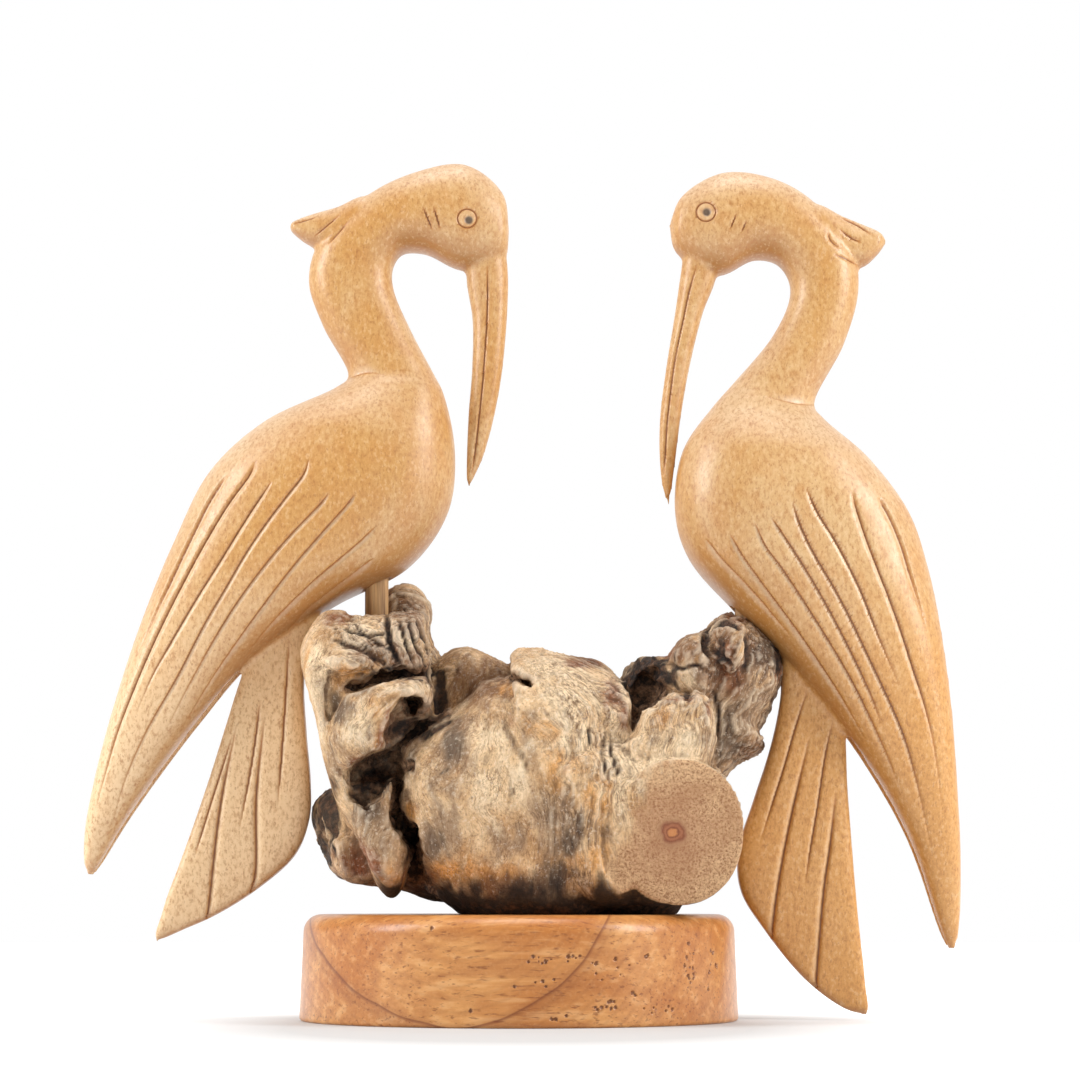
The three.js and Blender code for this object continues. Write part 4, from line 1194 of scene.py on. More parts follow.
# Patches as they are seen: the middle, then the half width and half height
ROOT_STAINS = {
    "blond": table("""
    12 72 8 11, 8 80 8 4, 21 60 5 10, 35 63 9 8, 23 74 3 6, -36.5 68 4 6, -26 75.8 5 1.2,
    -37 86.5 4.5 4, -26 88 3 4, -8 65 5 5, 40 78 3 3, -46.8 80 2.6 9, 30 56 8 5, -7 52 3 6,
    -45.5 66 1.6 5, 0 54 3 6"""),
    "grey": table("""
    -16 58 7 8, -18 44 5 7, -16 67 7 2.4, -36 46.4 4 2.6, 53 72 9 14, -32 41 3.6 8, 8 44 7 7,
    -43 60 2 6, -26 64 4 3, 2 64 2.4 5, 49 60 5 4, -24 95 5 3, -28 86 2 4, -2 42 5 4"""),
    "gold": table("""
    -16.5 34 3.6 3, -6 33 9 3, 7 66 3.6 2.6, 24 33 2 5, 21.3 56 2 5, 16 37 4 3, -29 31 3 3,
    -24.6 47.4 1.6 2.4, -3.6 75.6 3 2, -38 79.4 5 1.4, 22 29 5 2, 18 50 3 4, -36 72 4 3,
    -48 81 1.6 5, -33 62 3 2, 36 68 4 3, 10 58 4 4"""),
    "brown": table("""
    47.6 79 7 8, 48 86.6 5 5, 56 85 5 6, -37 37 5 5, -25 93 5 4, -9 77 8 6, 37.6 85.4 6 3,
    -34 84 4 3, -26 82 4 2.4, 14 82 5 1.6, 54 62 5 3, -34 57 5 4, -28 66 6 4, -24 38 2 6, -3 30 14 3"""),
    "rust": table("""
    -36 58.6 3.4 1, -31.4 64 1.2 4, -30 69 1.2 3, -23 72 3.4 2.4, 37 73 5 0.8, 43 70.6 0.8 1.8,
    47.6 82 3 5, 22 75 1.8 3.6, 20 71.6 0.8 1.8, -24 31 4 2.6, -37 36 5 4, 34 84 3 2, 16 81.6 4 1,
    49 92 4 1.6, -28.6 84 1.2 4, 60 80 1.4 4, 24 69 1 3, -42 92 4 1.4"""),
    # Grey patches, partly stain and partly a painted shadow under the ledge and in the valleys
    "smoke": table("""
    13.4 45 1.6 3, 11.6 40 1.8 3, 8 33 5 3, 20.4 43 1.2 2.4, -41 71 2.6 3.4, -43 74 2 2.4,
    -37 76 3 2, -19 41 2.4 3.4, -34 48 4 4, 48 64 3 6, -31 60 5 3, 57 84 4 4, -15 62 3 4"""),
    # Black patches in the gaps and crevices: partly rot, partly painted shade
    "black": table("""
    25 79.6 2 4, 28.8 82 5 2, 33 79 2.4 4, 28.8 78.6 3 3.8, -44.6 47.4 3.6 6.4, -43.6 38 1.4 5.6,
    43.2 87 1 3, 46.6 84 1.2 3, -25 79.4 7 1.6, -18.4 75 1.5 6, -24 66 6 2.6, -33 55 5 3,
    59.6 82 1.2 3, -24.4 38 1.6 7, 38.6 73.8 1.6 0.5"""),
}
# Stains that rain and soot leave on the side that is seen only
# Stains on the side that is seen only: rust, grey patches that are partly a painted shadow under the
# ledge and in the valleys, and black patches that are partly rot and partly painted shade in the gaps
FRONT_STAINS = ("smoke", "black", "rust")
# How fast a stain fades from its middle, the grain noise that feathers it and how much of
# it, and the sums at which it starts and is full
STAIN_FADE = 0.7
STAIN_EDGE = (2.2, 7, 2.2)
STAIN_FEATHER = 0.45
STAIN_RANGE = (0.2, 0.95)
STAIN_SEED = 40


def feather(grain, seed, octaves):
    """Noise that is short across the grain and long along it."""
    return noise(grain / STAIN_EDGE, 1, seed, octaves)


def stain(grain, spots, patches, seed):
    """The greatest of exp(-0.7 ((dx/half)^2 + (dz/half)^2)) over the patches, its edge
    feathered along the grain by noise."""
    total = np.zeros(len(spots))
    for x, z, half_x, half_z in patches:
        far = ((spots - (x, z)) / (half_x, half_z)) ** 2
        total = np.maximum(total, np.exp(-STAIN_FADE * far.sum(1)))
    total += STAIN_FEATHER * feather(grain, seed, 4)
    return smooth_step(total, *STAIN_RANGE)


print("stains:", {name: len(patches) for name, patches in ROOT_STAINS.items()})

# %% The dark of the gaps

# A gap's dark reaches this far past its outline, sets in between these two steps round its
# rim's depth, and lets go between these two past its floor
GAP_HALO = (0.2, 0.9)
GAP_RIM_STEPS = (-3, 5)
GAP_FLOOR_STEPS = (1, 3)


def gap_darkness(spots, depth, samples=60):
    """How far each point lies into a gap, 0 at its rim to 1: rot and shade blacken it. A point
    is inside an outline that turns once round it."""
    dark = np.zeros(len(spots))
    for gap in ROOT_GAPS.values():
        edge = curve(gap["outline"], np.arange(samples) / samples, closed=True)
        chosen = np.flatnonzero(((spots > edge.min(0) - 1) & (spots < edge.max(0) + 1)).all(1))
        rel = spots[chosen][:, None] - edge
        turn = np.arctan2(rel[..., 1], rel[..., 0])
        step = np.diff(turn, axis=1, append=turn[:, :1])
        step = (step + np.pi) % (2 * np.pi) - np.pi
        inside = np.abs(step.sum(1)) > np.pi
        near = np.sqrt((rel ** 2).sum(-1)).min(1)
        cover = np.where(inside, 1, 1 - smooth_step(near, *GAP_HALO))
        fall = smooth_step(depth[chosen], *(gap["rim"] + step for step in GAP_RIM_STEPS))
        front = 1 - smooth_step(depth[chosen], *(gap["floor"] + step for step in GAP_FLOOR_STEPS))
        dark[chosen] = np.maximum(dark[chosen], gap["dark"] * cover * fall * front)
    return dark

# %% The sawn face

# Nothing roughens the wood for this far behind the sawn end
SAWN_RIM = 9
SAWN_CRISP = 3
SAWN_SEED = 48


def branch_place(points):
    """How far each point is past the sawn end, and its place left of and above the middle,
    counted in half widths and half heights."""
    end, way, across, up = branch_axes()
    rel = points - end
    return rel @ way, rel @ across / BRANCH["half_width"], rel @ up / BRANCH["half_height"]


def sawn_face(points, grain):
    """How much each point belongs to the sawn end, which fades out to the upper left."""
    past, left, above = branch_place(points)
    flat = 1 - smooth_step(np.abs(past), 0.25, 0.6)
    inside = 1 - smooth_step(np.hypot(left, above), 1.2, 1.35)
    worn = 0.85 * left + 0.45 * above + 0.2 * feather(grain, SAWN_SEED, 3)
    return flat * inside * (1 - smooth_step(worn, 0.55, 0.95))


def near_sawn(points):
    """1 on the sawn end and just behind its crisp rim, where nothing roughens the wood."""
    past, left, above = branch_place(points)
    level = 1 - smooth_step(np.hypot(np.maximum(left, 0), above), 1.05, 1.25)
    return smooth_step(past, -SAWN_RIM, -SAWN_CRISP) * level

# %% [markdown]
# ## The root: weather
# Weather leaves soft lumps and fibres that stand up, and it snaps and rots whole patches
# away. Each is a height that is added along the skin's normal. Displacement in the material
# would be lost on export, so the points themselves move. How the skin bends afterwards says
# where shade is painted into the hollows and where the crests are painted paler.

# %% Rot, fibres, lumps and snapped ends

FIBRE_SIZE = (1.15, 9, 1.15)
FIBRE_DEPTH = 0.3
FIBRE_SHARE = 0.2
# Below the first height the fibres are worn to this share, and above the second they are whole
CALM_HEIGHTS = (31, 42)
CALM_SHARE = 0.3
LUMP_SIZE = 7
LUMP_DEPTH = 0.5
STEP_COUNT = 2.5
STEP_SIZE = (1.9, 5, 2.5)
STEP_DEPTH = 0.8
# Where the wood has snapped and its fibres end in steps
BROKEN = table("""
    -32 86.4 9.5 4.6, -29 76 8 1.6, -26 69 5 4, -34 54 5 4, 22 75 3 5, 37 72.6 7 1.6, 29 75 5 7,
    -25 81 6 2, 48 86 3 3, -44 40 4 6""")
ROT_SIZE = 2.2
ROT_DEPTH = 1.25
RUST_ROT = 0.3
# All relief fades out on the foot and near the pegs' holes
FOOT_FADE = (0.3, 3)
PEG_CLEAR = (0.1, 1.5)
PEG_SPARE = 2
RELIEF_SEEDS = dict(fibre=31, lump=33, rot=35, step=37, broken=50)


def relief_of(points, grain, fibrous, masks, front):
    """The height that is added to each point: ridged noise for fibres, stepped noise where
    the wood is broken, wide noise for lumps and fine noise where it is rotten."""
    fibre = 2 * np.abs(noise(grain / FIBRE_SIZE, 1, RELIEF_SEEDS["fibre"], 2)) - 0.5
    calm = CALM_SHARE + (1 - CALM_SHARE) * smooth_step(points[:, 2], *CALM_HEIGHTS)
    rough = FIBRE_DEPTH * fibre * calm * (FIBRE_SHARE + fibrous)
    broken = stain(grain, seen(points), BROKEN, RELIEF_SEEDS["broken"])
    broken = broken * front * (1 - masks["sawn"])
    steps = STEP_COUNT * noise(grain / STEP_SIZE, 1, RELIEF_SEEDS["step"], 2)
    rough += STEP_DEPTH * broken * (np.round(steps) / STEP_COUNT)
    rough += LUMP_DEPTH * noise(points, LUMP_SIZE, RELIEF_SEEDS["lump"], 2)
    rotten = np.maximum(masks["rotten"], RUST_ROT * masks["rust"])
    rough += ROT_DEPTH * rotten * noise(points, ROT_SIZE, RELIEF_SEEDS["rot"], 3)
    return rough * (1 - near_sawn(points))


def faded(points, rough):
    """The relief, less what would lift the foot off the base or close the pegs' holes."""
    rough = rough * smooth_step(points[:, 2], *(BASE_HEIGHT + step for step in FOOT_FADE))
    for peg in (LEFT_PEG, RIGHT_PEG):
        off = np.linalg.norm(points[:, :2] - peg["at"], axis=1) - PEG_RADIUS - HOLE_GAP
        above = points[:, 2] > peg["bottom"] - PEG_SPARE
        rough *= np.where(above, smooth_step(off, *PEG_CLEAR), 1)
    return rough

# %% Masks for the root's finish

# Dark from below, dark wood under a painted shade: between these heights, their edge
# feathered, where the skin faces down
UNDER_BLACK = (27, 35)
UNDER_FEATHER = 2.5
UNDER_SEED = 49
UNDER_NORMAL = (-0.25, 0.2)
FRONT_NORMAL = (-0.2, 0.3)
# Ridges run a little way round to where the skin faces back by this much
RIDGE_NORMAL = 0.2
# The joint with the base is dark between these steps above it: a painted contact shadow
FOOT_DARK = (1, 4)
CRACK_DARK = 1.1
RIDGE_PALE = 2
# Wood that bends in or out by this much is fully in the hollows or on the crests
BEND_RANGE = (0.015, 0.12)


def root_masks(points, normal, grain, front, crack, ridge):
    """How far each point is sawn, stained, rotten, in shade below, and blackened."""
    spots = seen(points)
    sawn = sawn_face(points, grain)
    masks = {name: stain(grain, spots, patches, STAIN_SEED + k) * (1 - sawn)
             for k, (name, patches) in enumerate(ROOT_STAINS.items())}
    for name in FRONT_STAINS:
        masks[name] *= front
    # Painted shade under the root, over its dark wood, low down where the skin faces down
    edge = points[:, 2] + UNDER_FEATHER * feather(grain, UNDER_SEED, 3)
    under = 1 - smooth_step(edge, *UNDER_BLACK)
    masks["under"] = under * smooth_step(-normal[:, 2], *UNDER_NORMAL) * (1 - sawn)
    masks["rotten"] = gap_darkness(spots, points[:, 1])
    # The foot's dark is a painted contact shadow where the root meets the base
    foot = 1 - smooth_step(points[:, 2], *(BASE_HEIGHT + step for step in FOOT_DARK))
    blacks = [masks["black"], foot * (1 - sawn), CRACK_DARK * crack]
    masks["black"] = np.clip(np.maximum.reduce(blacks), 0, 1)
    masks["blond"] = np.clip(masks["blond"] + RIDGE_PALE * ridge, 0, 1)
    masks["sawn"] = sawn
    return masks


def bending(points, tris):
    """How far the skin bends in, in millimetres: each point's step to its neighbours' mean,
    along its normal, averaged once over the neighbours. Negative on ridges."""
    edges = edges_of(tris)
    to_mean = neighbour_mean(points, edges, len(points)) - points
    bend = (to_mean * normals_of(points, tris)).sum(1)
    return (bend + neighbour_mean(bend[:, None], edges, len(points))[:, 0]) / 2

# %% The weathered root


def weather(points, tris):
    """Sinks the fibres, lumps, rot and cracks into the root, and gives its masks."""
    normal = normals_of(points, tris)
    spots = seen(points)
    grain, fibrous = grain_of(spots, points[:, 1])
    front = smooth_step(-normal[:, 1], *FRONT_NORMAL)
    crack = lines_on(spots, ROOT_CRACKS, normal[:, 1] < 0) * (1 - near_sawn(points))
    ridge = lines_on(spots, ROOT_RIDGES, normal[:, 1] < RIDGE_NORMAL)
    masks = root_masks(points, normal, grain, front, crack, ridge)
    rough = relief_of(points, grain, fibrous, masks, front) + (ridge - crack)
    points = points + normal * faded(points, rough)[:, None]
    bend = bending(points, tris)
    masks["fibrous"] = fibrous
    # hollow is a painted shade where the skin bends in; crest is paler where it bends out
    masks["hollow"] = smooth_step(bend, *BEND_RANGE) * (1 - masks["sawn"])
    masks["crest"] = smooth_step(-bend, *BEND_RANGE) * (1 - masks["sawn"])
    return points, grain, masks


points, grain, masks = weather(points, tris)
root = masked_object("weathered_root", points, tris, masks)
store = root.data.attributes.new("grain", "FLOAT_VECTOR", "POINT")
store.data.foreach_set("vector", grain.astype(np.float32).ravel())
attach(root, "root")
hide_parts("root_burl")

# %% [markdown]
# ## The turned base
# The base is a disc from the lathe, with a rounded top edge and a small foot edge. A Bevel on
# a cylinder would round it too, but a profile gives each edge its own radius. The lathe cut
# through short open vessels of the wood, so they are real pits: the triangles round each are
# halved, and it is sunk.

# %% The base's profile

BASE_RADIUS = 50
BASE_TOP_RADIUS = 49.2
BASE_EDGE = 4
FOOT_EDGE = 0.8


def base_profile(rows=40, arc_rows=14, under_rows=20):
    """From the middle of the underside round a small foot edge, up the wall and over the
    rounded top edge to the middle of the top."""
    turn = np.linspace(0, np.pi / 2, arc_rows)
    foot = np.stack([BASE_RADIUS - FOOT_EDGE + FOOT_EDGE * np.sin(turn),
                     FOOT_EDGE - FOOT_EDGE * np.cos(turn)], -1)
    rise = np.linspace(0, 1, rows)[1:-1, None]
    low = np.array([BASE_RADIUS, FOOT_EDGE])
    high = np.array([BASE_TOP_RADIUS, BASE_HEIGHT - BASE_EDGE])
    wall = low + rise * (high - low)
    edge = high + BASE_EDGE * np.stack([np.cos(turn) - 1, np.sin(turn)], -1)
    radii = np.linspace(BASE_TOP_RADIUS - BASE_EDGE, 0, rows)[1:, None]
    top = np.hstack([radii, np.full_like(radii, BASE_HEIGHT)])
    radii = np.linspace(0, BASE_RADIUS - FOOT_EDGE, under_rows)[:-1, None]
    return np.vstack([np.hstack([radii, 0 * radii]), foot, wall, edge, top])


print("profile:", len(base_profile()), "points")

# %% The base's pits

# A cluster's middle as seen from the front, its half length and half height and how many
# pits it has. The back has them too, turned half round
PIT_CLUSTERS = [
    (4.2, 14.6, 4.0, 0.9, 9), (11.8, 15.2, 1.8, 1.6, 6), (6.2, 10, 3.2, 1.2, 4),
    (-0.3, 8.5, 0.5, 0.5, 1), (8.6, 2.2, 3.2, 0.7, 5), (18.6, 4.6, 3.8, 1.4, 12),
    (24.7, 7.3, 0.8, 0.8, 2), (28.5, 3.6, 1.6, 0.9, 4), (33, 3.8, 1, 1, 3),
    (37.4, 13.5, 1.3, 5.5, 16), (42.6, 12, 1.6, 5, 12), (28.6, 15.4, 1.6, 0.5, 3),
    (-10, 4, 0.3, 0.3, 1), (-18.6, 21.2, 0.1, 0.9, 4), (21, 12, 8, 3, 8),
]
PIT_RADIUS = (0.2, 0.55)
PIT_DEPTH = 0.38
# Round a pit the triangles are halved twice, out to these distances past its edge
PIT_REACHES = (1.5, 1.1)
# How far, how fine and by which seed a pit's edge is broken
PIT_BREAK = (0.4, 0.5, 61)


def pit_places(seed=7):
    """The middle and radius of every pit, on the wall and in its cluster's oval."""
    draw = np.random.default_rng(seed)
    places = []
    for x, z, half_x, half_z, count in PIT_CLUSTERS:
        turn = draw.uniform(0, 2 * np.pi, count)
        far = np.sqrt(draw.uniform(0, 1, count))
        across = x + half_x * far * np.cos(turn)
        height = z + half_z * far * np.sin(turn)
        radius = draw.uniform(*PIT_RADIUS, count)
        wall = BASE_RADIUS + (BASE_TOP_RADIUS - BASE_RADIUS) * height / (BASE_HEIGHT - BASE_EDGE)
        for side in (1, -1):
            angle = np.arcsin(across / wall)
            places.append(np.stack([side * wall * np.sin(angle), -side * wall * np.cos(angle),
                                    height, radius], -1))
    return np.vstack(places)


print("pits:", len(pit_places()))


def pitted(points, tris):
    """Halves the triangles round each pit, then sinks it: depth (1 - (distance / radius)^2),
    with the edge broken by noise."""
    places = pit_places()
    for reach in PIT_REACHES:
        near = np.zeros(len(points), bool)
        for x, y, z, radius in places:
            near |= np.linalg.norm(points - (x, y, z), axis=1) < reach + radius
        points, tris = halve(points, tris, near)
    sunk = np.zeros(len(points))
    amount, size, seed = PIT_BREAK
    broken = amount * noise(points, size, seed, 2)
    for x, y, z, radius in places:
        far = np.linalg.norm(points - (x, y, z), axis=1) / radius + broken
        sunk = np.maximum(sunk, np.maximum(1 - far ** 2, 0))
    inward = points * (-1, -1, 0) / np.maximum(np.hypot(points[:, 0], points[:, 1]), 1)[:, None]
    return points + PIT_DEPTH * sunk[:, None] * inward, tris, sunk

# %% The base

points, tris, pits = pitted(*skin(turned(base_profile(), 360)))
base = masked_object("turned_base", points, tris, {"pit": smooth_step(pits, 0, 0.5)})
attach(base, "root")
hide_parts("round_base")

# %% [markdown]
# ## The pegs
# Each bird stands on a short stick that was split, not turned, so it isn't quite round. A
# cylinder's edge would be too clean where the left one shows. So noise that changes round the
# stick and not along it takes a little from the radius, which is how wood splits.

# %% The pegs

# How much the noise takes from the radius, its size and its seed
SPLIT_SHARE = 0.03
SPLIT_SIZE = 0.9
SPLIT_SEED = 11


def split_stick(at, bottom, top, around=96, along=40):
    """A round stick split along the grain: its radius waves a little round it, as 1 - share
    (1 + noise), and is 0 at both ends."""
    heights = np.concatenate([[bottom], np.linspace(bottom, top, along), [top]])
    radii = np.full(along + 2, float(PEG_RADIUS))
    radii[[0, -1]] = 0
    angle = round_angles(around)
    ring = np.stack([np.cos(angle), np.sin(angle), 0 * angle], -1) * PEG_RADIUS
    wave = 1 - SPLIT_SHARE * (1 + noise(ring + (at[0], 0, 0), SPLIT_SIZE, SPLIT_SEED))
    return skin(turned(np.stack([radii, heights], -1), around, at, wave))


for name, peg in (("left", LEFT_PEG), ("right", RIGHT_PEG)):
    made = masked_object("split_" + name + "_peg", *split_stick(**peg), {})
    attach(made, "root")
    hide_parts(name + "_peg")

# %% [markdown]
# ## Finishes: how they are made
# Wood colour is built from noise on Object coordinates, so it runs through the piece as
# real figure does, and grooves and ends show it cut at another angle. A picture wrapped round
# the piece would show its seam. Each finish starts from one tone and lays others over it, each
# where a noise or one of the masks is high, as stain and dirt lie over wood; some of the masks
# lay painted shade and painted highlights instead.

# %% Nodes and materials


def fill(mat, made, inputs):
    """Gives each named input of a node its value, or joins it to another node's socket."""
    for key, value in inputs.items():
        if isinstance(value, bpy.types.NodeSocket):
            mat.node_tree.links.new(value, made.inputs[key])
        else:
            made.inputs[key].default_value = value


def node(mat, kind, inputs, **settings):
    """Adds a shader node with its settings and inputs."""
    made = mat.node_tree.nodes.new(kind)
    for key, value in settings.items():
        setattr(made, key, value)
    fill(mat, made, inputs)
    return made


def maths(mat, operation, *values):
    """The outcome of a sum on values or sockets, such as MULTIPLY."""
    inputs = dict(enumerate(values))
    return node(mat, "ShaderNodeMath", inputs, operation=operation).outputs["Value"]


def new_finish(name):
    """An empty material, and the Principled shader that is joined to its output."""
    mat = bpy.data.materials.new(name)
    mat.use_nodes = True
    mat.node_tree.nodes.clear()
    shader = node(mat, "ShaderNodeBsdfPrincipled", {})
    node(mat, "ShaderNodeOutputMaterial", {"Surface": shader.outputs["BSDF"]})
    return mat, shader


def dress(made, mat):
    """Puts a finish on a piece."""
    made.data.materials.append(mat)
    print(made.name, "wears", mat.name, "of", len(mat.node_tree.nodes), "nodes")

# %% Places, noise and masks


def place(mat, scale=(1, 1, 1), turn=(0, 0, 0), move=(0, 0, 0)):
    """Object coordinates turned, stretched and moved, in metres."""
    coords = node(mat, "ShaderNodeTexCoord", {}).outputs["Object"]
    return node(mat, "ShaderNodeMapping", {
        "Vector": coords, "Rotation": turn, "Scale": scale,
        "Location": move}).outputs["Vector"]


def speckle(mat, spot, scale, detail=3.0, rough=0.5, warp=0.0):
    """Noise of 0 to 1 with that many cells to each unit of the place."""
    return node(mat, "ShaderNodeTexNoise", {
        "Vector": spot, "Scale": scale, "Detail": detail, "Roughness": rough,
        "Distortion": warp}).outputs["Fac"]


def ramp(mat, value, low, high, to_low=0.0, to_high=1.0):
    """One number up to low, another from high on, and a straight rise between them."""
    return node(mat, "ShaderNodeMapRange", {
        "Value": value, "From Min": low, "From Max": high, "To Min": to_low,
        "To Max": to_high}).outputs["Result"]


def mask(mat, name):
    """One of the numbers that the shaping left at each point."""
    return node(mat, "ShaderNodeAttribute", {}, attribute_name=name).outputs["Fac"]


def bump(mat, height, strength, distance, below=None):
    """Relief too fine for the mesh, from a height, over other relief where it is given."""
    inputs = {"Height": height, "Strength": strength, "Distance": distance}
    if below is not None:
        inputs["Normal"] = below
    return node(mat, "ShaderNodeBump", inputs).outputs["Normal"]


def ring_wave(mat, far, per_metre):
    """Growth rings: the sine of a distance times so many radians a metre."""
    return maths(mat, "SINE", maths(mat, "MULTIPLY", far, per_metre))

# %% Tones


def colour(red, green, blue):
    """A screen colour of 0 to 255 each, as the linear values that a shader takes."""
    shares = np.array([red, green, blue]) / 255
    linear = np.where(shares <= 0.04045, shares / 12.92, ((shares + 0.055) / 1.055) ** 2.4)
    return (*linear.tolist(), 1.0)


def blend(mat, share, first, second, mode="MIX"):
    """The first colour turned into the second by a share of 0 to 1."""
    inputs = {0: share, 6: first, 7: second}
    return node(mat, "ShaderNodeMix", inputs, data_type="RGBA", blend_type=mode).outputs[2]


def two_tone(mat, value, low, high, first, second):
    """One screen colour up to low, another from high on, and mixed between them."""
    return blend(mat, ramp(mat, value, low, high), colour(*first), colour(*second))


def layered(mat, body, *layers):
    """Lays tones over a body in turn. Each comes in as its value, a socket or a mask's name,
    goes from low to high, and covers at most its share."""
    for value, low, high, share, tone in layers:
        value = mask(mat, value) if isinstance(value, str) else value
        tone = colour(*tone) if isinstance(tone, tuple) else tone
        body = blend(mat, ramp(mat, value, low, high, 0, share), body, tone)
    return body


print("mid grey is", colour(128, 128, 128)[0], "to the shader")

# %% [markdown]
# ## The cranes' finish
# The birds are a pale close-grained wood, sanded smooth, with a thin satin finish. The blocks
# stand along the grain, so the cloudy figure and the pores are longer upwards than across.
# The cuts have pale walls, a painted highlight, and dark bottoms, partly painted shade.
# Undersides carry painted shade and upper faces a painted highlight. One material serves both
# birds, and a mask says which of them is painted paler downwards, a painted sheen, and which
# turns to amber.

# %% The cranes' finish


def crane_finish(name):
    """Pale close-grained wood under a thin satin finish: cloudy amber figure, fine pores,
    short cross flecks, darker cuts that are partly painted shade, paler cut walls that are a
    painted highlight, painted shade under, a painted highlight on top and, on one bird, a
    painted sheen low down."""
    mat, shader = new_finish(name)
    cloud = speckle(mat, place(mat, (1, 1, 0.6)), 38, 3, 0.55, 0.5)
    mottle = speckle(mat, place(mat, (1, 1, 0.7)), 150, 4, 0.62, 0.6)
    grainy = speckle(mat, place(mat, (1, 1, 0.6)), 1150, 3, 0.7)
    pores = speckle(mat, place(mat, (1, 1, 0.5)), 1900, 2, 0.6)
    body = two_tone(mat, cloud, 0.4, 0.62, (208, 170, 120), (198, 148, 84))
    body = layered(
        mat, body,
        (mottle, 0.44, 0.7, 0.55, (192, 132, 62)),
        # The left bird's painted sheen down its wings and tail
        ("bleached", 0, 1, 0.75, (236, 204, 160)),
        ("amber", 0, 1, 0.75, (208, 148, 74)),
        # A painted highlight on the upper faces, then a painted shade on the undersides
        ("upper", 0, 1, 0.42, (222, 196, 168)),
        ("under", 0, 1, 0.8, (146, 94, 42)),
        (grainy, 0.5, 0.66, 0.5, (168, 108, 50)),
        (grainy, 0.46, 0.34, 0.22, (240, 212, 174)),
        (pores, 0.57, 0.68, 0.5, (156, 96, 42)),
        # The cut walls' painted highlight, then the cut bottoms, darker and partly painted shade
        ("wall", 0, 1, 0.85, (240, 220, 190)),
        ("cut", 0.05, 0.45, 0.85, (176, 112, 48)),
        ("cut", 0.45, 0.9, 0.9, (114, 62, 20)),
        ("pupil", 0, 1, 0.85, (52, 44, 42)),
    )
    fill(mat, shader, {
        "Base Color": body, "Roughness": ramp(mat, mottle, 0.3, 0.7, 0.33, 0.43),
        "Specular IOR Level": 0.68, "Normal": bump(mat, grainy, 0.2, 0.0001)})
    return mat


crane_wood = crane_finish("satin_crane_wood")
dress(left_crane, crane_wood)
dress(right_crane, crane_wood)

# %% [markdown]
# ## The root's finish
# Bare driftwood has no gloss. It is tan, and bleached, silvered, rusty or rotten where the
# masks say, with painted shade below, in its hollows and in its gaps. Its fibres follow the
# grain, so their noise reads the grain numbers that each point keeps: Object coordinates would
# rule them all one way. The sawn end shows the wood inside: chips from the saw, and rings
# round a heart.

# %% The root's weathered wood

# The tone of each stain, in the order in which they lie over each other
STAIN_TONES = {
    "grey": (162, 134, 106), "gold": (220, 158, 84), "blond": (246, 222, 186),
    "brown": (130, 88, 54), "rust": (140, 78, 42), "smoke": (96, 80, 66),
}
STAIN_SHARE = 0.88


def grain_place(mat, scale):
    """The root's own coordinates across, along and into its grain, in cells a millimetre."""
    own = node(mat, "ShaderNodeAttribute", {}, attribute_name="grain").outputs["Vector"]
    return node(mat, "ShaderNodeMapping", {"Vector": own, "Scale": scale}).outputs["Vector"]


def crease(mat, value, half):
    """1 where a noise crosses its middle and 0 beyond a half width: thin winding lines."""
    off = maths(mat, "ABSOLUTE", maths(mat, "SUBTRACT", value, 0.5))
    return ramp(mat, off, 0, half, 1, 0)


def weathered(mat, fibres, fuzz, grit, patchy):
    """Tan wood with its stains, then shaded by fibres, crossed by hair lines and gritty."""
    cloud = speckle(mat, place(mat), 110, 5, 0.62, 0.4)
    body = two_tone(mat, cloud, 0.38, 0.62, (204, 162, 114), (236, 204, 162))
    stains = [(name, 0, 1, STAIN_SHARE, tone) for name, tone in STAIN_TONES.items()]
    body = layered(mat, body, *stains)
    strong = two_tone(mat, fibres, 0.38, 0.58, (104, 74, 48), (255, 251, 244))
    soft = two_tone(mat, fuzz, 0.34, 0.54, (158, 124, 92), (255, 252, 246))
    shade = blend(mat, ramp(mat, mask(mat, "fibrous"), 0.1, 0.9), soft, strong)
    body = blend(mat, ramp(mat, patchy, 0.34, 0.6, 0.45, 1.0), body, shade, "MULTIPLY")
    hair = crease(mat, speckle(mat, grain_place(mat, (0.8, 0.08, 0.8)), 1, 4, 0.6, 0.3), 0.022)
    worn = maths(mat, "MULTIPLY", hair, ramp(mat, patchy, 0.42, 0.58, 0, 0.8))
    body = blend(mat, worn, body, colour(86, 56, 34))
    return layered(
        mat, body,
        (grit, 0.54, 0.68, 0.5, (112, 78, 50)),
        (grit, 0.44, 0.34, 0.3, (252, 236, 214)),
        # Painted shade in the hollows, and paler crests
        ("hollow", 0, 1, 0.7, (88, 60, 38)),
        ("crest", 0, 1, 0.35, (246, 228, 202)),
    )


print("stain tones:", len(STAIN_TONES))

# %% The sawn end of the branch

# The heart on the sawn end, how closely its rings stand (radians a metre), and how far in
# metres they wander
PITH = np.array([33.9, -36, 41.8])
RINGS_PER_METRE = 4200
RING_WANDER = 0.0024
# The heart's tones from its middle outwards, and between which distances they lie
HEART_TONES = (
    (0, (208, 140, 84)), (0.26, (204, 134, 80)), (0.36, (128, 66, 46)), (0.48, (170, 106, 72)),
    (0.62, (136, 76, 54)), (0.78, (172, 124, 88)), (1, (184, 142, 104)),
)
HEART_REACH = (0.0012, 0.0048)


def heart_of(mat, far):
    """The heart's dark rings, as a row of tones over the distance."""
    row = node(mat, "ShaderNodeValToRGB", {"Fac": ramp(mat, far, *HEART_REACH)})
    stops = row.color_ramp.elements
    for at, _ in HEART_TONES[1:-1]:
        stops.new(at)
    for stop, (_, tone) in zip(stops, HEART_TONES):
        stop.color = colour(*tone)
    return row.outputs["Color"]


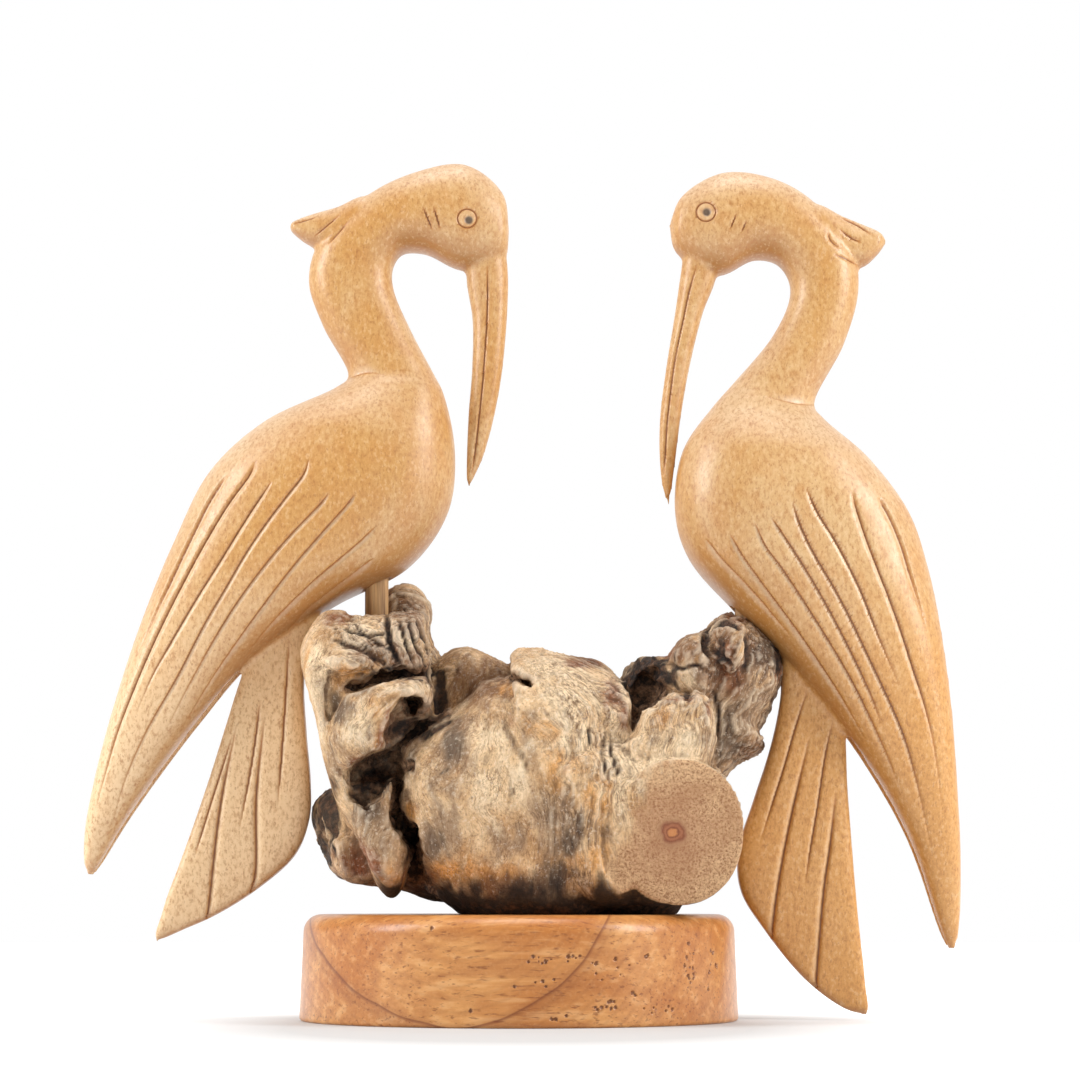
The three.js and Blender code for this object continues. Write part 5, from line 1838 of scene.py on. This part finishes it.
def sawn_end(mat, chips, patchy):
    """Chips left by the saw, a redder zone, faint growth rings and the heart."""
    coords = node(mat, "ShaderNodeTexCoord", {}).outputs["Object"]
    heart = {0: coords, 1: tuple(PITH * MM)}
    straight = node(mat, "ShaderNodeVectorMath", heart, operation="DISTANCE").outputs["Value"]
    swirl = speckle(mat, place(mat), 300, 4, 0.6)
    far = maths(mat, "MULTIPLY_ADD", swirl, RING_WANDER, straight)
    face = two_tone(mat, chips, 0.4, 0.62, (186, 140, 98), (230, 192, 148))
    face = layered(
        mat, face,
        (chips, 0.48, 0.4, 0.75, (122, 76, 42)),
        (patchy, 0.4, 0.7, 0.6, (166, 116, 76)),
    )
    face = blend(mat, ramp(mat, far, 0.006, 0.014, 0.4, 0), face, colour(168, 114, 80))
    rings = ring_wave(mat, far, RINGS_PER_METRE)
    face = layered(mat, face, (rings, 0.1, 1, 0.13, (140, 92, 58)))
    return blend(mat, ramp(mat, far, 0.004, 0.0052, 0.9, 0), face, heart_of(mat, far))


print("heart:", len(HEART_TONES), "tones at", PITH, "mm")

# %% The root's finish


def root_finish(name):
    """Weathered driftwood: stained tan wood, rotten places, painted shade below and in the
    gaps, and the sawn end.
    """
    mat, shader = new_finish(name)
    fibres = speckle(mat, grain_place(mat, (1.6, 0.13, 1.6)), 1, 4, 0.7, 0.25)
    fuzz = speckle(mat, grain_place(mat, (2.8, 0.6, 2.8)), 1, 5, 0.75, 0.4)
    grit = speckle(mat, place(mat), 1250, 3, 0.7)
    patchy = speckle(mat, place(mat), 130, 3, 0.6)
    chips = speckle(mat, place(mat), 1900, 5, 0.8, 0.4)
    crumbs = speckle(mat, place(mat), 620, 5, 0.72)
    body = weathered(mat, fibres, fuzz, grit, patchy)
    body = blend(mat, mask(mat, "sawn"), body, sawn_end(mat, chips, patchy))
    # Near-black under the root: dark wood under a painted shade
    dark_wood_and_shade = two_tone(mat, fuzz, 0.42, 0.68, (18, 10, 6), (46, 29, 17))
    # Rot's colour, which also serves as painted shade deep in the gaps
    rot = two_tone(mat, crumbs, 0.4, 0.58, (40, 28, 20), (146, 108, 78))
    rot = layered(mat, rot, (crumbs, 0.58, 0.68, 0.7, (196, 164, 134)))
    # Near-black where the black mask lies: rot, cracks, and painted shade in the gaps and at the foot
    black_rot_and_shade = two_tone(mat, crumbs, 0.46, 0.64, (26, 17, 13), (92, 62, 42))
    body = layered(
        mat, body,
        # The painted shade under the root
        ("under", 0.1, 0.95, 0.96, dark_wood_and_shade),
        ("rotten", 0.08, 0.8, 0.95, rot),
        ("black", 0.08, 0.7, 0.95, black_rot_and_shade),
    )
    relief = bump(mat, blend(mat, mask(mat, "sawn"), fibres, chips), 0.7, 0.0007)
    fill(mat, shader, {
        "Base Color": body, "Roughness": 0.7, "Specular IOR Level": 0.35,
        "Normal": bump(mat, grit, 0.4, 0.0005, relief)})
    return mat


dress(root, root_finish("weathered_root_wood"))

# %% [markdown]
# ## The base's finish
# The disc is oiled orange-brown wood. Its fibres run level through it, so they are noise
# stretched one way: long streaks at the front, and short ones where they end at the side. One
# dark growth ring bows across the front. A tree's rings are distances from one axis, and so
# are these.

# %% The base's finish

GRAIN_TURN = math.radians(-37)
BASE_RINGS_PER_METRE = 2400
# How far in metres the rings wander, and where their axis passes, turned round
BASE_RING_WANDER = 0.0035
BASE_RING_AXIS = (0.014, 0, -0.037)
# The dark ring's distance, then its crisp line and its soft band: start, end and share
DARK_RING = 0.0381
DARK_RING_BANDS = ((0.0378, 0.0387, 0.7), (0.0374, 0.042, 0.3))


def base_finish(name):
    """Oiled orange-brown wood whose fibres run level from back left to front right, with the
    growth rings round an axis above the disc."""
    mat, shader = new_finish(name)
    cloud = speckle(mat, place(mat, (1, 1, 1.6)), 42, 3, 0.5, 0.5)
    streak = speckle(mat, place(mat, (0.1, 1, 1), (0, 0, -GRAIN_TURN)), 420, 4, 0.6)
    vessels = speckle(mat, place(mat, (0.12, 1, 1), (0, 0, -GRAIN_TURN)), 1500, 2, 0.6)
    fine = speckle(mat, place(mat), 1500, 2, 0.6)
    swirl = speckle(mat, place(mat), 45, 2, 0.5)
    axis = {0: place(mat, (1, 0, 1), move=BASE_RING_AXIS)}
    straight = node(mat, "ShaderNodeVectorMath", axis, operation="LENGTH").outputs["Value"]
    far = maths(mat, "MULTIPLY_ADD", swirl, BASE_RING_WANDER, straight)
    rings = ring_wave(mat, far, BASE_RINGS_PER_METRE)
    body = two_tone(mat, cloud, 0.36, 0.66, (216, 154, 90), (192, 122, 60))
    body = layered(
        mat, body,
        (streak, 0.44, 0.64, 0.55, (170, 102, 50)),
        (streak, 0.46, 0.34, 0.32, (238, 190, 136)),
        (vessels, 0.57, 0.7, 0.7, (128, 68, 34)),
        (fine, 0.5, 0.75, 0.22, (222, 172, 118)),
        (rings, 0.4, 1, 0.14, (132, 72, 38)),
    )
    for start, end, share in DARK_RING_BANDS:
        fall = ramp(mat, far, DARK_RING, end, 1, 0)
        band = maths(mat, "MULTIPLY", ramp(mat, far, start, DARK_RING), fall)
        body = layered(mat, body, (band, 0, 1, share, (116, 54, 28)))
    body = layered(mat, body, ("pit", 0, 1, 0.85, (116, 68, 36)))
    fill(mat, shader, {
        "Base Color": body, "Roughness": 0.3, "Normal": bump(mat, streak, 0.15, 0.0002)})
    return mat


dress(base, base_finish("oiled_base_wood"))

# %% [markdown]
# ## The pegs' finish
# The sticks are split wood, duller and browner than the birds. Noise that is stretched far
# up the stick makes their dark lines and their relief.

# %% The pegs' finish


def peg_finish(name):
    """Split straight-grained wood, browner than the cranes, with dark lines up its length."""
    mat, shader = new_finish(name)
    grain = speckle(mat, place(mat, (1, 1, 0.04)), 900, 4, 0.65)
    cloud = speckle(mat, place(mat, (1, 1, 0.4)), 260, 3, 0.5)
    body = two_tone(mat, grain, 0.35, 0.62, (104, 70, 40), (206, 164, 112))
    body = layered(mat, body, (cloud, 0.4, 0.7, 0.5, (150, 106, 66)))
    fill(mat, shader, {
        "Base Color": body, "Roughness": 0.65, "Normal": bump(mat, grain, 0.4, 0.0003)})
    return mat


peg_wood = peg_finish("split_peg_wood")
for name in ("split_left_peg", "split_right_peg"):
    dress(bpy.data.objects[name], peg_wood)

# %% [markdown]
# ## Studio
# The photograph was taken low in front with a long lens. The camera stands where the lines
# were drawn from, so the carving is seen just as it was laid out. Its tilt and lens were
# worked out from the base's oval and from what is upright on the real thing.

# %% Camera

# The lens and the film's width in millimetres, and how far the camera looks up in degrees
LENS = 106.955
FILM_WIDTH = 36
TILT = 6.37985
NEAR_END = 0.01
camera_data = bpy.data.cameras.new("camera")
camera_data.lens = LENS
camera_data.sensor_width = FILM_WIDTH
camera_data.clip_start = NEAR_END
camera = bpy.data.objects.new("camera", camera_data)
camera.location = VIEW_FROM * MM
camera.rotation_euler = (math.radians(90 + TILT), 0, 0)
bpy.context.scene.collection.objects.link(camera)
bpy.context.scene.camera = camera
print("camera at", list(camera.location))

# %% [markdown]
# ## Floor and room
# The table is white paper swept up behind the piece. Its bend would show from other angles,
# so a pale disc does instead, with a world that is white where the camera sees past it. The
# paper lights the table too, so the disc glows a little, least where the shadow lies.

# %% Floor

FLOOR_RADIUS = 1.3
FLOOR_SIDES = 96
# The glow lies on a squashed and shifted circle, weak inside it and strong outside
GLOW_SHAPE = dict(scale=(1.1, 0.8, 1), move=(0, 0.035, 0))
GLOW_RANGE = (0.055, 0.125)
GLOW_LEVELS = (0.05, 0.8)
around = round_angles(FLOOR_SIDES)
rim = np.stack([np.cos(around), np.sin(around), 0 * around], -1) * FLOOR_RADIUS
floor_mesh = bpy.data.meshes.new("floor")
floor_mesh.from_pydata(rim.tolist(), [], [tuple(range(FLOOR_SIDES))])
floor = bpy.data.objects.new("floor", floor_mesh)
bpy.context.scene.collection.objects.link(floor)
floor_mat, floor_shader = new_finish("pale_floor")
shifted = {0: place(floor_mat, **GLOW_SHAPE)}
outward = node(floor_mat, "ShaderNodeVectorMath", shifted, operation="LENGTH").outputs["Value"]
fill(floor_mat, floor_shader, {
    "Base Color": (0.56, 0.56, 0.56, 1), "Emission Color": (1, 1, 1, 1), "Roughness": 0.7,
    "Emission Strength": ramp(floor_mat, outward, *GLOW_RANGE, *GLOW_LEVELS)})
dress(floor, floor_mat)

# %% Room

# The room behind the camera is dim and the wall behind the object is white. What the camera
# sees past the floor is white on every side
ROOM_FRONT = 0.4
ROOM_BACK = 1.0
ROOM_TURN = 0.8
world = bpy.data.worlds.new("studio")
bpy.context.scene.world = world
world.use_nodes = True
sky = world.node_tree.nodes["Background"]
way = node(world, "ShaderNodeTexCoord", {}).outputs["Generated"]
toward_back = node(world, "ShaderNodeSeparateXYZ", {"Vector": way}).outputs["Y"]
light_level = ramp(world, toward_back, -ROOM_TURN, ROOM_TURN, ROOM_FRONT, ROOM_BACK)
to_camera = node(world, "ShaderNodeLightPath", {}).outputs["Is Camera Ray"]
fill(world, sky, {
    "Color": (1, 1, 1, 1), "Strength": maths(world, "MAXIMUM", to_camera, light_level)})
print("room:", ROOM_FRONT, "to", ROOM_BACK)

# %% [markdown]
# ## Lights
# The highlights on the breasts are tall and soft, so the lights at the sides are tall boxes.
# Spots would leave hard glints. A square box above fills the backs.

# %% Lights

# Each box's place and its width and height in metres, and its watts
LIGHTS = {
    "left_box": ((-0.706, -0.229, 0.42), (0.22, 0.5), 4.0),
    "right_box": ((0.678, -0.302, 0.42), (0.22, 0.5), 4.0),
    "top_box": ((0, -0.1, 0.95), (0.5, 0.5), 2.8),
}
LIGHT_TARGET = (0, 0, 0.1)


def soft_light(name, at, size, watts):
    """A soft box that faces the middle of the ornament."""
    light = bpy.data.lights.new(name, "AREA")
    light.shape = "RECTANGLE"
    light.size, light.size_y = size
    light.energy = watts
    made = bpy.data.objects.new(name, light)
    made.location = at
    way = np.array(at, float) - np.array(LIGHT_TARGET, float)
    flat = math.hypot(way[0], way[1])
    made.rotation_euler = (math.atan2(flat, way[2]), 0, math.atan2(way[0], -way[1]))
    bpy.context.scene.collection.objects.link(made)


for name, (at, size, watts) in LIGHTS.items():
    soft_light(name, at, size, watts)
bpy.context.scene.view_settings.view_transform = "Standard"
print("lights:", ", ".join(LIGHTS))
